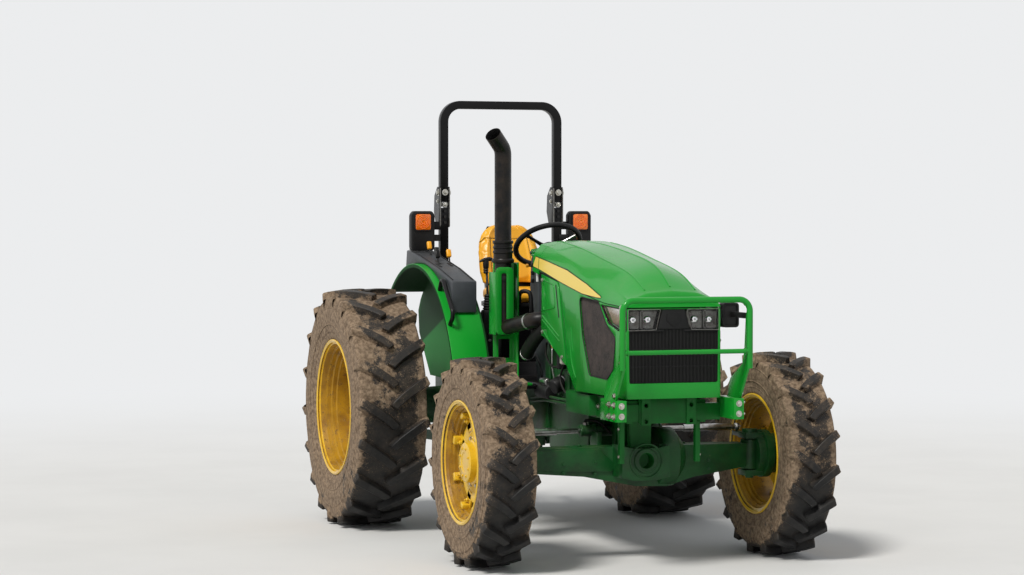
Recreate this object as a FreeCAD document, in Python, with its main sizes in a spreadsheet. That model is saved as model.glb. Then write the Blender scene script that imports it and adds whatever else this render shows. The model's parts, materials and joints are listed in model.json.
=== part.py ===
"""Farm tractor with an open station, a folding roll bar and four-wheel drive.

Millimetres. +X is the tractor's left, the tractor faces -Y, +Z is up. The origin
is on the ground in the centre plane, halfway between the two axles.
"""
import FreeCAD
import Part
import Sketcher
import math
import os
from FreeCAD import Placement, Rotation, Vector

X = Vector(1, 0, 0)
Y = Vector(0, 1, 0)
Z = Vector(0, 0, 1)
LEFT = 1
RIGHT = -1
SIDES = (("left", LEFT), ("right", RIGHT))

# Driving sizes, in millimetres and degrees
SIZES = {
    "wheelbase": 2050,
    "fit_gap": 0.3,
    # front wheels
    "front_track": 1686,
    "front_tyre_radius": 557,
    "front_tyre_width": 284,
    "front_rim_radius": 330,
    "front_rim_width": 270,
    "front_disc_offset": 40,
    # rear wheels
    "rear_track": 1870,
    "rear_tyre_radius": 710,
    "rear_tyre_width": 430,
    "lugs_per_side": 18,
    "lug_height": 34,
    "front_lug_width": 34,
    "front_lug_slant": 40,
    "rear_lug_width": 42,
    "rear_lug_slant": 38,
    "rear_rim_radius": 406,
    "rear_rim_width": 392,
    "rear_disc_offset": -65,
    "rear_hub_length": 75,
    "rim_wall": 8,
    "disc_thickness": 12,
    # front axle
    "kingpin_spread": 1380,
    "kingpin_radius": 22,
    "final_drive_reach": 98,
    "beam_depth": 140,
    "axle_pivot_radius": 55,
    "pivot_pin_bore": 42,
    "steering_arm": 175,
    "tie_rod_radius": 14,
    "diff_offset": 175,
    "diff_radius": 160,
    # front support
    "rail_inside": 190,
    "rail_thickness": 30,
    "rail_bottom": 781,
    "rail_top": 900,
    "bridge_thickness": 19,
    "front_plate_half": 160,
    "front_plate_bottom": 781,
    "front_plate_top": 915,
    "plate_hole_spacing_across": 252,
    "plate_hole_spacing_up": 83,
    "plate_hole_radius": 11,
    # guard in front of the grille
    "guard_half_width": 350,
    "guard_reach": 795,
    "guard_tube_radius": 16,
    "guard_top": 1446,
    "guard_mid_rail": 1164,
    "guard_corner_radius": 60,
    "guard_plate": 12,
    # engine and transmission
    "engine_half_width": 190,
    "engine_length": 830,
    "engine_front_offset": 45,
    "engine_top": 1180,
    "head_top": 1330,
    "sump_bottom": 545,
    "transmission_half_width": 170,
    "transmission_bottom": 600,
    "transmission_top": 880,
    "rear_housing_half_width": 220,
    "rear_housing_bottom": 520,
    "rear_housing_top": 885,
    "post_seat_rise": 155,
    "trumpet_radius": 130,
    # hood
    "hood_wall": 7,
    "hood_bottom": 915,
    "grille_bottom": 995,
    "grille_top": 1378,
    "hood_slot": 12,
    "hood_hinge_from_rear_axle": 945,
    "hood_hinge_height": 1645,
    "hood_hinge_radius": 8,
    "hood_arm_inside": 183,
    # platform, seat and controls
    "platform_half_width": 400,
    "dash_half_width": 175,
    "platform_sheet": 20,
    "deck_top": 980,
    "seat_half_width": 225,
    "seat_height": 1430,
    "seat_back_height": 387,
    "wheel_rim_radius": 191,
    "wheel_tube_radius": 14,
    "wheel_tilt": 38,
    "wheel_height": 1687,
    "wheel_from_rear_axle": 671,
    # roll bar
    "post_spread": 738,
    "post_section": 50,
    "post_from_rear_axle": 221,
    "hinge_height": 2000,
    "hoop_top": 2563,
    "hoop_corner_radius": 105,
    # lamp pods
    "pod_bottom": 1640,
    # fenders
    "fender_clearance": 146,
    "fender_lip": 625,
    "fender_sheet": 8,
    # exhaust
    "stack_offset": 385,
    "stack_from_engine": 175,
    "stack_radius": 48,
    "clamp_radius": 54,
    "stack_top": 2250,
    # rear linkage
    "link_reach": 795,
    "link_ball_bore": 14.35,
    "link_spread": 824,
    "lift_arm_length": 320,
    "lift_pin_radius": 11,
    "link_pin_radius": 12,
    "top_link_bore": 12.85,
    "pto_radius": 17.45,
    "pto_journal": 15,
    "pto_height": 640,
    "drawbar_height": 400,
    "drawbar_hole": 16.5,
}

# Cross-sections of the hood and of the fixed cowl behind it, from the rear forwards.
# behind: distance behind the front axle; then half width and heights of the side's
# top seam, the coloured band's top, the crease, the dome's flank and its crown.
HOOD_COLUMNS = ("behind", "half", "seam", "band", "crease", "flank", "crown")
HOOD_SECTIONS = {
    "cowl": (815, 285, 1566, 1640, 1698, 1714, 1717),
    "rear": (715, 285, 1550, 1628, 1684, 1709, 1713),
    "waist": (405, 284, 1506, 1590, 1635, 1680, 1697),
    "middle": (25, 276, 1444, 1512, 1542, 1622, 1657),
    "brow": (-275, 267, 1402, 1432, 1477, 1572, 1612),
    "nose": (-425, 264, 1394, 1420, 1452, 1530, 1562),
    "front": (-605, 262, 1383, 1405, 1425, 1449, 1456),
}
CREASE_X = 234
FLANK_X = 140

doc = FreeCAD.newDocument("FarmTractor")
sheet = doc.addObject("Spreadsheet::Sheet", "Sizes")


def fill_sheet():
    """Write every driving size into the sheet, one aliased cell each."""
    rows = dict(SIZES)
    rows["crease_x"] = CREASE_X
    rows["flank_x"] = FLANK_X
    for station, values in HOOD_SECTIONS.items():
        for column, value in zip(HOOD_COLUMNS, values):
            rows["hood_" + station + "_" + column] = value
    for row, (alias, value) in enumerate(rows.items(), start=1):
        sheet.set("A%d" % row, alias)
        sheet.set("B%d" % row, str(value))
        sheet.setAlias("B%d" % row, alias)
    doc.recompute()


class Size:
    """A size: its value in mm or degrees, and the expression that gives it."""

    def __init__(self, value, text):
        self.value = float(value)
        self.text = text

    def __add__(self, other):
        other = as_size(other)
        return Size(self.value + other.value, "(%s + %s)" % (self.text, other.text))

    def __sub__(self, other):
        other = as_size(other)
        return Size(self.value - other.value, "(%s - %s)" % (self.text, other.text))

    def __mul__(self, other):
        other = as_size(other)
        return Size(self.value * other.value, "(%s * %s)" % (self.text, other.text))

    def __truediv__(self, other):
        other = as_size(other)
        return Size(self.value / other.value, "(%s / %s)" % (self.text, other.text))

    def __neg__(self):
        return Size(-self.value, "(-%s)" % self.text)

    def __radd__(self, other):
        return as_size(other) + self

    def __rsub__(self, other):
        return as_size(other) - self

    def __rmul__(self, other):
        return as_size(other) * self


def as_size(value):
    """A plain number as a size."""
    if isinstance(value, Size):
        return value
    return Size(value, "(%r)" % float(value))


def cosine(angle):
    return Size(math.cos(math.radians(angle.value)), "cos(%s * 1deg)" % angle.text)


def sine(angle):
    return Size(math.sin(math.radians(angle.value)), "sin(%s * 1deg)" % angle.text)


def root(size):
    return Size(math.sqrt(size.value), "sqrt(%s)" % size.text)


class SheetSizes:
    """The sheet's cells as sizes, by alias."""

    def __getattr__(self, alias):
        return Size(sheet.get(alias), "Sizes." + alias)


fill_sheet()
s = SheetSizes()


def cell(alias):
    return Size(sheet.get(alias), "Sizes." + alias)


def bind(obj, prop, size):
    obj.setExpression(prop, as_size(size).text)


def bind_place(obj, prop, place):
    for letter, size in zip("xyz", place):
        bind(obj, prop + "." + letter, size)


def vector(place):
    return Vector(*(as_size(size).value for size in place))


# Basic solids
def box(name, x, y, z):
    """A box between two limits on each axis."""
    solid = doc.addObject("Part::Box", name)
    for prop, limits in (("Length", x), ("Width", y), ("Height", z)):
        bind(solid, prop, as_size(limits[1]) - limits[0])
    bind_place(solid, "Placement.Base", (x[0], y[0], z[0]))
    return solid


TURN_TO = {"X": Rotation(Y, 90), "Y": Rotation(X, -90), "Z": Rotation()}


def on_axis(axis, start, first, second):
    """A place from a length along an axis and the two other coordinates in order."""
    order = {"X": (start, first, second), "Y": (first, start, second), "Z": (first, second, start)}
    return order[axis]


def rod(name, axis, along, first, second, radius):
    """A round bar along an axis, from along[0] to along[1]."""
    solid = doc.addObject("Part::Cylinder", name)
    solid.Placement = Placement(Vector(), TURN_TO[axis])
    bind(solid, "Radius", radius)
    bind(solid, "Height", as_size(along[1]) - along[0])
    bind_place(solid, "Placement.Base", on_axis(axis, along[0], first, second))
    return solid


def cone(name, axis, along, first, second, start_radius, end_radius):
    solid = doc.addObject("Part::Cone", name)
    solid.Placement = Placement(Vector(), TURN_TO[axis])
    bind(solid, "Radius1", start_radius)
    bind(solid, "Radius2", end_radius)
    bind(solid, "Height", as_size(along[1]) - along[0])
    bind_place(solid, "Placement.Base", on_axis(axis, along[0], first, second))
    return solid


def ball(name, centre, radius):
    solid = doc.addObject("Part::Sphere", name)
    bind(solid, "Radius", radius)
    bind_place(solid, "Placement.Base", centre)
    return solid


def strut(name, start, end, radius):
    """A round bar between two places."""
    solid = doc.addObject("Part::Cylinder", name)
    steps = [as_size(b) - a for a, b in zip(start, end)]
    solid.Placement = Placement(Vector(), Rotation(Z, vector(steps)))
    bind(solid, "Radius", radius)
    bind(solid, "Height", root(steps[0] * steps[0] + steps[1] * steps[1] + steps[2] * steps[2]))
    bind_place(solid, "Placement.Base", start)
    return solid


# Sketched solids: each plane gives a sketch's two directions and the way it is padded
PLANES = {"side": (Y, Z, X, "x"), "front": (X, Z, Y, "y"), "floor": (X, Y, Z, "z")}


def corner_sketch(name, across, up, corners):
    """A closed outline whose corners are held by the sheet's sizes."""
    sketch = doc.addObject("Sketcher::SketchObject", name)
    sketch.Placement = Placement(Vector(), Rotation(across, up, across.cross(up), "XYZ"))
    corners = [(as_size(a), as_size(b)) for a, b in corners]
    count = len(corners)
    places = [Vector(a.value, b.value, 0) for a, b in corners]
    lines = [Part.LineSegment(places[i], places[(i + 1) % count]) for i in range(count)]
    sketch.addGeometry(lines, False)
    limits = [Sketcher.Constraint("Coincident", i, 2, (i + 1) % count, 1) for i in range(count)]
    for i, place in enumerate(places):
        limits.append(Sketcher.Constraint("DistanceX", -1, 1, i, 1, place.x))
        limits.append(Sketcher.Constraint("DistanceY", -1, 1, i, 1, place.y))
    sketch.addConstraint(limits)
    for i, (a, b) in enumerate(corners):
        bind(sketch, "Constraints[%d]" % (count + 2 * i), a)
        bind(sketch, "Constraints[%d]" % (count + 2 * i + 1), b)
    return sketch


def slab(name, plane, level, corners):
    """An outline padded from level[0] to level[1] across its plane."""
    across, up, normal, letter = PLANES[plane]
    sketch = corner_sketch(name + "_outline", across, up, corners)
    bind(sketch, "Placement.Base." + letter, level[0])
    solid = doc.addObject("Part::Extrusion", name)
    solid.Base = sketch
    solid.DirMode = "Custom"
    solid.Dir = normal
    solid.Solid = True
    bind(solid, "LengthFwd", as_size(level[1]) - level[0])
    return solid


TURNING = {"X": (X, Z), "Y": (Y, Z), "Z": (Z, X)}


def turned(name, axis, centre, profile, start=0, sweep=360):
    """A profile of (along, radius) points turned about an axis through centre."""
    along, out = TURNING[axis]
    out = Rotation(along, start).multVec(out)
    sketch = corner_sketch(name + "_profile", along, out, profile)
    bind_place(sketch, "Placement.Base", centre)
    solid = doc.addObject("Part::Revolution", name)
    solid.Source = sketch
    solid.Axis = along
    solid.Solid = True
    solid.Angle = sweep
    bind_place(solid, "Base", centre)
    return solid


def hoop_path(name, places, bend):
    """A wire of straight runs joined by tangent arcs of one radius."""
    points = [vector(place) for place in places]
    bend = as_size(bend).value
    edges = []
    start = points[0]
    for before, corner, after in zip(points, points[1:], points[2:]):
        way_in = (corner - before).normalize()
        way_out = (after - corner).normalize()
        turn = way_in.getAngle(way_out)
        trim = bend * math.tan(turn / 2)
        arc_start = corner - way_in * trim
        arc_end = corner + way_out * trim
        inward = (way_out - way_in).normalize()
        middle = corner + inward * (bend / math.cos(turn / 2) - bend)
        edges.append(Part.LineSegment(start, arc_start).toShape())
        edges.append(Part.Arc(arc_start, middle, arc_end).toShape())
        start = arc_end
    edges.append(Part.LineSegment(start, points[-1]).toShape())
    path = doc.addObject("Part::Feature", name)
    path.Shape = Part.Wire(edges)
    return path, len(edges)


def swept(name, profile, places, bend):
    path, count = hoop_path(name + "_path", places, bend)
    solid = doc.addObject("Part::Sweep", name)
    solid.Sections = [profile]
    solid.Spine = (path, ["Edge%d" % (i + 1) for i in range(count)])
    solid.Solid = True
    solid.Frenet = False
    return solid


def tube(name, places, bend, radius):
    """A round bar or pipe along straight runs and bends."""
    profile = doc.addObject("Part::Circle", name + "_section")
    direction = vector(places[1]) - vector(places[0])
    profile.Placement = Placement(vector(places[0]), Rotation(Z, direction))
    bind(profile, "Radius", radius)
    return swept(name, profile, places, bend)


def loft(name, sketches):
    solid = doc.addObject("Part::Loft", name)
    solid.Sections = sketches
    solid.Solid = True
    solid.Ruled = True
    return solid


# Joining and cutting
def fuse(name, *solids):
    joined = doc.addObject("Part::MultiFuse", name)
    joined.Shapes = list(solids)
    return joined


def cut(name, base, *tools):
    result = doc.addObject("Part::Cut", name)
    result.Base = base
    result.Tool = tools[0] if len(tools) == 1 else fuse(name + "_tools", *tools)
    return result


def common(name, first, second):
    result = doc.addObject("Part::Common", name)
    result.Base = first
    result.Tool = second
    return result


def together(name, *solids):
    group = doc.addObject("Part::Compound", name)
    group.Links = list(solids)
    return group


nodes = []


def node(name, solid):
    """Keep a finished sub-part under its own name."""
    solid.Label = name
    nodes.append((name, solid))


def span(side, near, far):
    """Limits across the tractor on one side, given from the centre outwards."""
    near = as_size(near)
    far = as_size(far)
    if side == LEFT:
        return near, far
    return -far, -near


front = -s.wheelbase / 2
rear = s.wheelbase / 2
front_hub = s.front_tyre_radius
rear_hub = s.rear_tyre_radius
engine_front = front + s.engine_front_offset
engine_rear = engine_front + s.engine_length


# Wheels
SEAT_SHARE = 0.86
FLANGE_SHARE = 0.93
SEAT_DROP = 24


def rim_barrel(name, centre, radius, width, well_drop):
    """The rim's wall: flanges, bead seats and a central well, all one thickness."""
    half = width / 2
    # share of the half width, then drop below the flange's edge
    steps = ((1.0, 0), (FLANGE_SHARE, 0), (SEAT_SHARE, SEAT_DROP), (0.5, 32), (0.36, well_drop))
    outer = [(half * share, radius - drop) for share, drop in steps]
    outer += [(-along, out) for along, out in reversed(outer)]
    inner = [(along, out - s.rim_wall) for along, out in outer]
    return turned(name, "X", centre, outer + list(reversed(inner)))


def wheel_disc(name, side, centre, offset, radius, reach, ears, ear_width):
    """The centre disc with ears that reach the rim's well."""
    start = centre[0] + side * offset
    along = (start, start + s.disc_thickness) if side == LEFT else (start - s.disc_thickness, start)
    disc = rod(name + "_plate", "X", along, centre[1], centre[2], radius)
    pieces = [disc]
    for i in range(ears):
        angle = 360.0 / ears * (i + 0.5)
        ear = box(name + "_ear%d" % i, along, (0, 1), (0, 1))
        bind(ear, "Width", ear_width)
        bind(ear, "Height", reach)
        turn = as_size(angle)
        ear.Placement.Rotation = Rotation(X, angle - 90)
        bind(ear, "Placement.Base.y", centre[1] - sine(turn) * ear_width / 2)
        bind(ear, "Placement.Base.z", centre[2] + cosine(turn) * ear_width / 2)
        pieces.append(ear)
    return pieces


def faceted_ring(name, centre, sides, profile):
    """A flat-sided ring about the X axis from its closed profile of (along, radius) places."""
    rows = []
    for along, out in profile:
        along, out = as_size(along).value, as_size(out).value
        turns = [math.tau * i / sides for i in range(sides)]
        rows.append([vector(centre) + Vector(along, -out * math.sin(turn), out * math.cos(turn)) for turn in turns])
    faces = []
    for first, second in zip(rows, rows[1:] + rows[:1]):
        for i in range(sides):
            j = (i + 1) % sides
            faces.append(Part.Face(Part.makePolygon([first[i], first[j], second[j], second[i], first[i]])))
    ring = doc.addObject("Part::Feature", name)
    ring.Shape = Part.Solid(Part.Shell(faces))
    return ring


def tread_bar(name, centre, side, turn, slant, reach, start, length, width, depth):
    """A bar on the tread, slanted so that its inner end meets the ground first, at a turn around the tyre."""
    bar = doc.addObject("Part::Box", name)
    lean = side * slant
    bind(bar, "Length", length)
    bind(bar, "Width", width)
    bind(bar, "Height", depth)
    turn = as_size(turn)
    bar.Placement.Rotation = Rotation(X, turn.value) * Rotation(Z, lean.value)
    half = length / 2
    across = side * (start + half * cosine(lean)) - half * cosine(lean) + width / 2 * sine(lean)
    forward = -(half * sine(lean)) - width / 2 * cosine(lean)
    up = reach - depth
    bind_place(bar, "Placement.Base", (
        centre[0] + across, centre[1] + forward * cosine(turn) - up * sine(turn),
        centre[2] + forward * sine(turn) + up * cosine(turn)))
    return bar


def tyre(name, centre, radius, width, rim_radius, rim_width, bars, slant, bar_width):
    """A faceted tyre with slanted bars on its tread, around the rim's bead seats."""
    half = width / 2
    seat = rim_width / 2 * SEAT_SHARE
    bars = round(bars.value)
    facets = 2 * bars
    bar_overlap = 8
    inside = (rim_radius - SEAT_DROP + s.fit_gap) / cosine(as_size(180.0 / facets))
    widest = rim_radius + (radius - rim_radius) * 0.42
    rings = [(seat, inside), (half, widest), (half * 0.90, radius - s.lug_height - 6)]
    rings += [(-along, out) for along, out in reversed(rings)]
    carcass = faceted_ring(name + "_carcass", centre, facets, rings)
    pitch = 360.0 / bars
    pieces = [carcass]
    # a bar's outer corner stays inside the tyre's width
    length = (half * 0.99 + bar_overlap - bar_width / 2 * sine(slant)) / cosine(slant)
    # A bar's top is flat. The corners nearest the ground are on the bars at half a pitch from it.
    corner = (length * sine(slant) + bar_width * cosine(slant)) / 2
    turned_by = math.degrees(math.asin(corner.value / radius.value))
    tip = radius / cosine(as_size(pitch / 2 - turned_by))
    reach = root(tip * tip - corner * corner)
    for i in range(bars):
        for j, side in enumerate((LEFT, RIGHT)):
            pieces.append(tread_bar("%s_bar%d_%d" % (name, i, j), centre, side, pitch * (i + j / 2), slant, reach,
                                    -bar_overlap, length, bar_width, s.lug_height + 30))
    node(name, fuse(name, *pieces))


for label, side in SIDES:
    # Front wheel: rim with a disc, a driving hub and its cap
    centre = (side * s.front_track / 2, front, front_hub)
    rim = "rim_front_" + label
    barrel = rim_barrel(rim + "_barrel", centre, s.front_rim_radius, s.front_rim_width, 60)
    disc = wheel_disc(rim + "_disc", side, centre, s.front_disc_offset, 215, 266, 8, 64)
    hub_start = s.kingpin_spread / 2 + s.final_drive_reach + s.fit_gap
    disc_place = s.front_track / 2 + s.front_disc_offset
    hub = rod(rim + "_hub", "X", span(side, hub_start, disc_place), front, front_hub, 118)
    cap_end = disc_place + s.disc_thickness + 52
    cap = rod(rim + "_cap", "X", span(side, disc_place, cap_end), front, front_hub, 108)
    node(rim, fuse(rim, barrel, hub, cap, *disc))
    tyre("tyre_front_" + label, centre, s.front_tyre_radius, s.front_tyre_width,
         s.front_rim_radius, s.front_rim_width,
         s.lugs_per_side, s.front_lug_slant, s.front_lug_width)

    # Rear wheel: a deep dished rim with its disc near the tractor
    centre = (side * s.rear_track / 2, rear, rear_hub)
    rim = "rim_rear_" + label
    barrel = rim_barrel(rim + "_barrel", centre, s.rear_rim_radius, s.rear_rim_width, 62)
    disc = wheel_disc(rim + "_disc", side, centre, s.rear_disc_offset, 270, 340, 8, 80)
    disc_place = s.rear_track / 2 + s.rear_disc_offset
    hub = rod(rim + "_hub", "X", span(side, disc_place - s.rear_hub_length, disc_place), rear, rear_hub, 100)
    cap = rod(rim + "_cap", "X", span(side, disc_place, disc_place + 70), rear, rear_hub, 78)
    node(rim, fuse(rim, barrel, hub, cap, *disc))
    tyre("tyre_rear_" + label, centre, s.rear_tyre_radius, s.rear_tyre_width,
         s.rear_rim_radius, s.rear_rim_width,
         s.lugs_per_side, s.rear_lug_slant, s.rear_lug_width)


# Front axle: a cast beam that rocks about a lengthways pivot
kingpin_x = s.kingpin_spread / 2
beam_front = front - s.beam_depth / 2
beam_rear = front + s.beam_depth / 2
ring_front = front - 214
ring_rear = front - 140
rod_height = front_hub + 135
cylinder_y = front + s.steering_arm


def build_axle():
    beam = slab("beam_casting", "front", (beam_front, beam_rear), [
        (-(kingpin_x - 48), front_hub - 62), (-300, front_hub - 90), (0, front_hub - 150),
        (s.diff_offset, front_hub - 155), (330, front_hub - 110), (kingpin_x - 48, front_hub - 62),
        (kingpin_x - 48, front_hub + 62), (250, front_hub + 66), (-200, front_hub + 66),
        (-(kingpin_x - 48), front_hub + 62)])
    pieces = [beam]
    for label, side in SIDES:
        neck = box("beam_neck_" + label, span(side, kingpin_x - 60, kingpin_x),
                   (front - 45, front + 45), (front_hub - 60, front_hub + 60))
        eye = rod("beam_eye_" + label, "Z", (front_hub - 80, front_hub + 80), side * kingpin_x, front, 50)
        pieces += [neck, eye]
        post = box("cylinder_post_" + label, span(side, 150, 175), (beam_rear - 10, cylinder_y),
                   (front_hub + 40, rod_height))
        pieces.append(post)
    diff = turned("diff_housing", "X", (0, front, front_hub), [
        (s.diff_offset - 85, 0), (s.diff_offset - 85, 85), (s.diff_offset - 45, s.diff_radius),
        (s.diff_offset + 45, s.diff_radius), (s.diff_offset + 105, 85), (s.diff_offset + 105, 0)])
    pinion = rod("pinion_nose", "Y", (front, front + 185), s.diff_offset, front_hub, 55)
    ring = slab("pivot_ring", "front", (ring_front, ring_rear), [
        (-135, front_hub - 90), (-70, front_hub - 105), (70, front_hub - 105), (135, front_hub - 90),
        (135, front_hub + 80), (70, front_hub + 66), (-70, front_hub + 66), (-135, front_hub + 80)])
    web_left = box("pivot_web_left", (97, 135), (ring_rear - 10, beam_front + 10),
                   (front_hub - 90, front_hub + 80))
    web_right = box("pivot_web_right", (-135, -97), (ring_rear - 10, beam_front + 10),
                    (front_hub - 90, front_hub + 80))
    trunnion = rod("rear_trunnion", "Y", (beam_rear - 10, front + 140), 0, front_hub,
                   s.axle_pivot_radius - 10)
    barrel = rod("steering_barrel", "X", (-235, 235), cylinder_y, rod_height, 32)
    pieces += [diff, pinion, ring, web_left, web_right, trunnion, barrel]
    holes = [rod("pivot_bore", "Y", (ring_front - 5, ring_rear + 5), 0, front_hub,
                 s.axle_pivot_radius + s.fit_gap),
             rod("barrel_bore", "X", (-240, 240), cylinder_y, rod_height, s.tie_rod_radius + 0.5)]
    for label, side in SIDES:
        holes.append(rod("kingpin_bore_" + label, "Z", (front_hub - 90, front_hub + 90),
                         side * kingpin_x, front, s.kingpin_radius + s.fit_gap))
    node("axle_beam", cut("axle_beam", fuse("axle_beam_casting", *pieces), *holes))


def build_knuckle(label, side):
    """A fork around the beam's eye with the final drive outboard and the arm behind."""
    near = kingpin_x - 45
    far = kingpin_x + 62
    name = "knuckle_" + label
    pieces = []
    for part, low, high in (("top", 86, 118), ("bottom", -118, -86)):
        level = (front_hub + low, front_hub + high)
        pieces.append(box(name + "_" + part, span(side, near, far), (front - 55, front + 55), level))
    pin = s.kingpin_radius
    pieces.append(rod(name + "_pin_top", "Z", (front_hub + 30, front_hub + 132), side * kingpin_x, front, pin))
    pieces.append(rod(name + "_pin_low", "Z", (front_hub - 132, front_hub - 30), side * kingpin_x, front, pin))
    pieces.append(rod(name + "_boss", "Z", (front_hub + 118, front_hub + 136), side * kingpin_x, front, 42))
    pieces.append(rod(name + "_drive", "X", span(side, kingpin_x + 58, kingpin_x + s.final_drive_reach),
                      front, front_hub, 130))
    arm = slab(name + "_arm", "floor", (front_hub + 88, front_hub + 112), [
        (side * (kingpin_x - 28), front), (side * (kingpin_x + 28), front),
        (side * (kingpin_x + 20), cylinder_y + 22), (side * (kingpin_x - 20), cylinder_y + 22)])
    pieces.append(arm)
    node(name, fuse(name, *pieces))


def build_tie_rods():
    """The steering cylinder's through rod with a ball end over each arm."""
    long_rod = rod("through_rod", "X", (-kingpin_x, kingpin_x), cylinder_y, rod_height, s.tie_rod_radius)
    pieces = [long_rod]
    for label, side in SIDES:
        pieces.append(ball("rod_ball_" + label, (side * kingpin_x, cylinder_y, rod_height), 21))
        pieces.append(rod("rod_stud_" + label, "Z", (front_hub + 112.5, rod_height), side * kingpin_x,
                          cylinder_y, 9))
        pieces.append(rod("rod_sleeve_" + label, "X", span(side, 370, kingpin_x - 40), cylinder_y,
                          rod_height, 20))
    node("tie_rods", fuse("tie_rods", *pieces))


build_axle()
for label, side in SIDES:
    build_knuckle(label, side)
build_tie_rods()


# Front support: rails beside the engine, the plate in front and the axle's hangers
rail_out = s.rail_inside + s.rail_thickness
support_front = front - 525
crossmember_rear = support_front + 60
foot_inside = s.guard_half_width - 52
guard_plate_back = front - 752


def build_front_support():
    plate = box("front_plate", (-s.front_plate_half, s.front_plate_half),
                (support_front, support_front + 25), (s.front_plate_bottom, s.front_plate_top))
    pieces = [plate]
    strip_x = s.plate_hole_spacing_across / 2
    hole_middle = (s.front_plate_bottom + s.front_plate_top) / 2 - 14
    holes = []
    for label, side in SIDES:
        pieces.append(box("plate_strip_" + label, (side * strip_x - 26, side * strip_x + 26),
                          (support_front - 12, support_front + 10),
                          (s.front_plate_bottom - 8, s.front_plate_top)))
        pieces.append(box("rail_" + label, span(side, s.rail_inside, rail_out),
                          (support_front + 25, engine_front + 380), (s.rail_bottom, s.rail_top)))
        pieces.append(box("drop_plate_" + label, span(side, 200, 226),
                          (front - 415, front - 385), (565, s.rail_bottom + 10)))
        pieces.append(box("side_bracket_" + label, span(side, rail_out, rail_out + 40),
                          (front - 45, front + 330), (s.rail_bottom + 10, s.rail_top)))
        for row, up in (("low", -1), ("high", 1)):
            holes.append(rod("plate_hole_%s_%s" % (label, row), "Y",
                             (support_front - 20, support_front + 40), side * strip_x,
                             hole_middle + up * s.plate_hole_spacing_up / 2, s.plate_hole_radius))
    pieces.append(box("crossmember", (-rail_out, rail_out), (support_front + 25, crossmember_rear),
                      (s.rail_bottom + 10, s.rail_top)))
    pieces.append(box("guard_arm", (-foot_inside, foot_inside), (support_front + 10, support_front + 60),
                      (s.rail_bottom + 12, s.rail_top - 20)))
    pieces.append(box("axle_bridge", (-s.rail_inside - 10, s.rail_inside + 10), (front - 185, front + 150),
                      (s.rail_bottom, s.rail_bottom + s.bridge_thickness)))
    hanger_front = slab("hanger_front", "front", (ring_rear + 8, beam_front - 18), [
        (-60, front_hub - 62), (60, front_hub - 62), (60, s.rail_bottom + 10), (-60, s.rail_bottom + 10)])
    hanger_rear = slab("hanger_rear", "front", (beam_rear + 20, front + 138), [
        (-60, front_hub - 72), (60, front_hub - 72), (60, s.rail_bottom + 10), (-60, s.rail_bottom + 10)])
    pin = rod("axle_pivot_pin", "Y", (ring_front - 6, ring_rear + 20), 0, front_hub, s.axle_pivot_radius)
    pieces += [hanger_front, hanger_rear, pin]
    holes.append(rod("pin_bore", "Y", (ring_front - 10, ring_rear - 4), 0, front_hub, s.pivot_pin_bore))
    holes.append(rod("trunnion_bore", "Y", (beam_rear + 10, front + 145), 0, front_hub,
                     s.axle_pivot_radius - 10 + s.fit_gap))
    node("front_support", cut("front_support", fuse("front_support_casting", *pieces), *holes))


build_front_support()


# Guard in front of the grille
def build_guard():
    rail_y = front - s.guard_reach + s.guard_tube_radius
    half = s.guard_half_width
    top = s.guard_top - s.guard_tube_radius
    leg_low = s.guard_mid_rail - 89
    loop = tube("guard_loop", [(-half, rail_y, leg_low), (-half, rail_y, top), (half, rail_y, top),
                               (half, rail_y, leg_low)], s.guard_corner_radius, s.guard_tube_radius)
    mid = rod("guard_mid", "X", (-half, half), rail_y, s.guard_mid_rail, 12)
    pieces = [loop, mid]
    for label, side in SIDES:
        plate = slab("guard_plate_" + label, "side", span(side, half - s.guard_plate, half), [
            (rail_y, top - 12), (rail_y, leg_low), (front - 668, 908), (front - 508, 908),
            (front - 552, 1010), (front - 712, 1096), (front - 735, 1164), (guard_plate_back, 1330)])
        foot = box("guard_foot_" + label, span(side, foot_inside, half + 2), (front - 700, front - 465),
                   (806, 915))
        pieces += [plate, foot]
    node("brush_guard", fuse("brush_guard", *pieces))


build_guard()


# Engine, radiator, transmission and rear axle housing
head_half = 130


def build_engine():
    half = s.engine_half_width
    block = box("cylinder_block", (-half, half), (engine_front, engine_rear),
                (s.rail_bottom + s.bridge_thickness, s.engine_top))
    head = box("cylinder_head", (-head_half, head_half), (engine_front + 50, engine_rear - 110),
               (s.engine_top, s.head_top))
    # the sump is narrow on the left, beside the shaft to the front axle
    sump = box("sump", (-165, s.diff_offset - 45), (engine_front + 180, engine_rear),
               (s.sump_bottom, s.rail_bottom + s.bridge_thickness))
    node("engine_block", fuse("engine_block", block, head, sump))


def build_radiator():
    core_front = front - 405
    core = box("core", (-226, 226), (core_front, core_front + 90), (s.rail_top, 1400))
    shroud = cone("shroud", "Y", (core_front + 90, engine_front - 60), 0, 1150, 215, 195)
    hub = rod("fan_hub", "Y", (engine_front - 60, engine_front), 0, 1150, 60)
    node("radiator", fuse("radiator", core, shroud, hub))


housing_front = rear - 205
housing_rear = rear + 205
post_seat_top = rear_hub + s.post_seat_rise
arm_pivot_y = rear + 130
arm_pivot_z = 965
rockshaft_radius = 35
pto_depth = 55


def build_transmission():
    half = s.transmission_half_width
    bell = slab("bell_housing", "floor", (s.transmission_bottom, s.transmission_top), [
        (-half - 10, engine_rear), (half + 10, engine_rear), (half + 10, engine_rear + 120),
        (half, engine_rear + 160), (half, housing_front), (-half, housing_front),
        (-half, engine_rear + 160), (-half - 10, engine_rear + 120)])
    node("transmission", bell)


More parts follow.
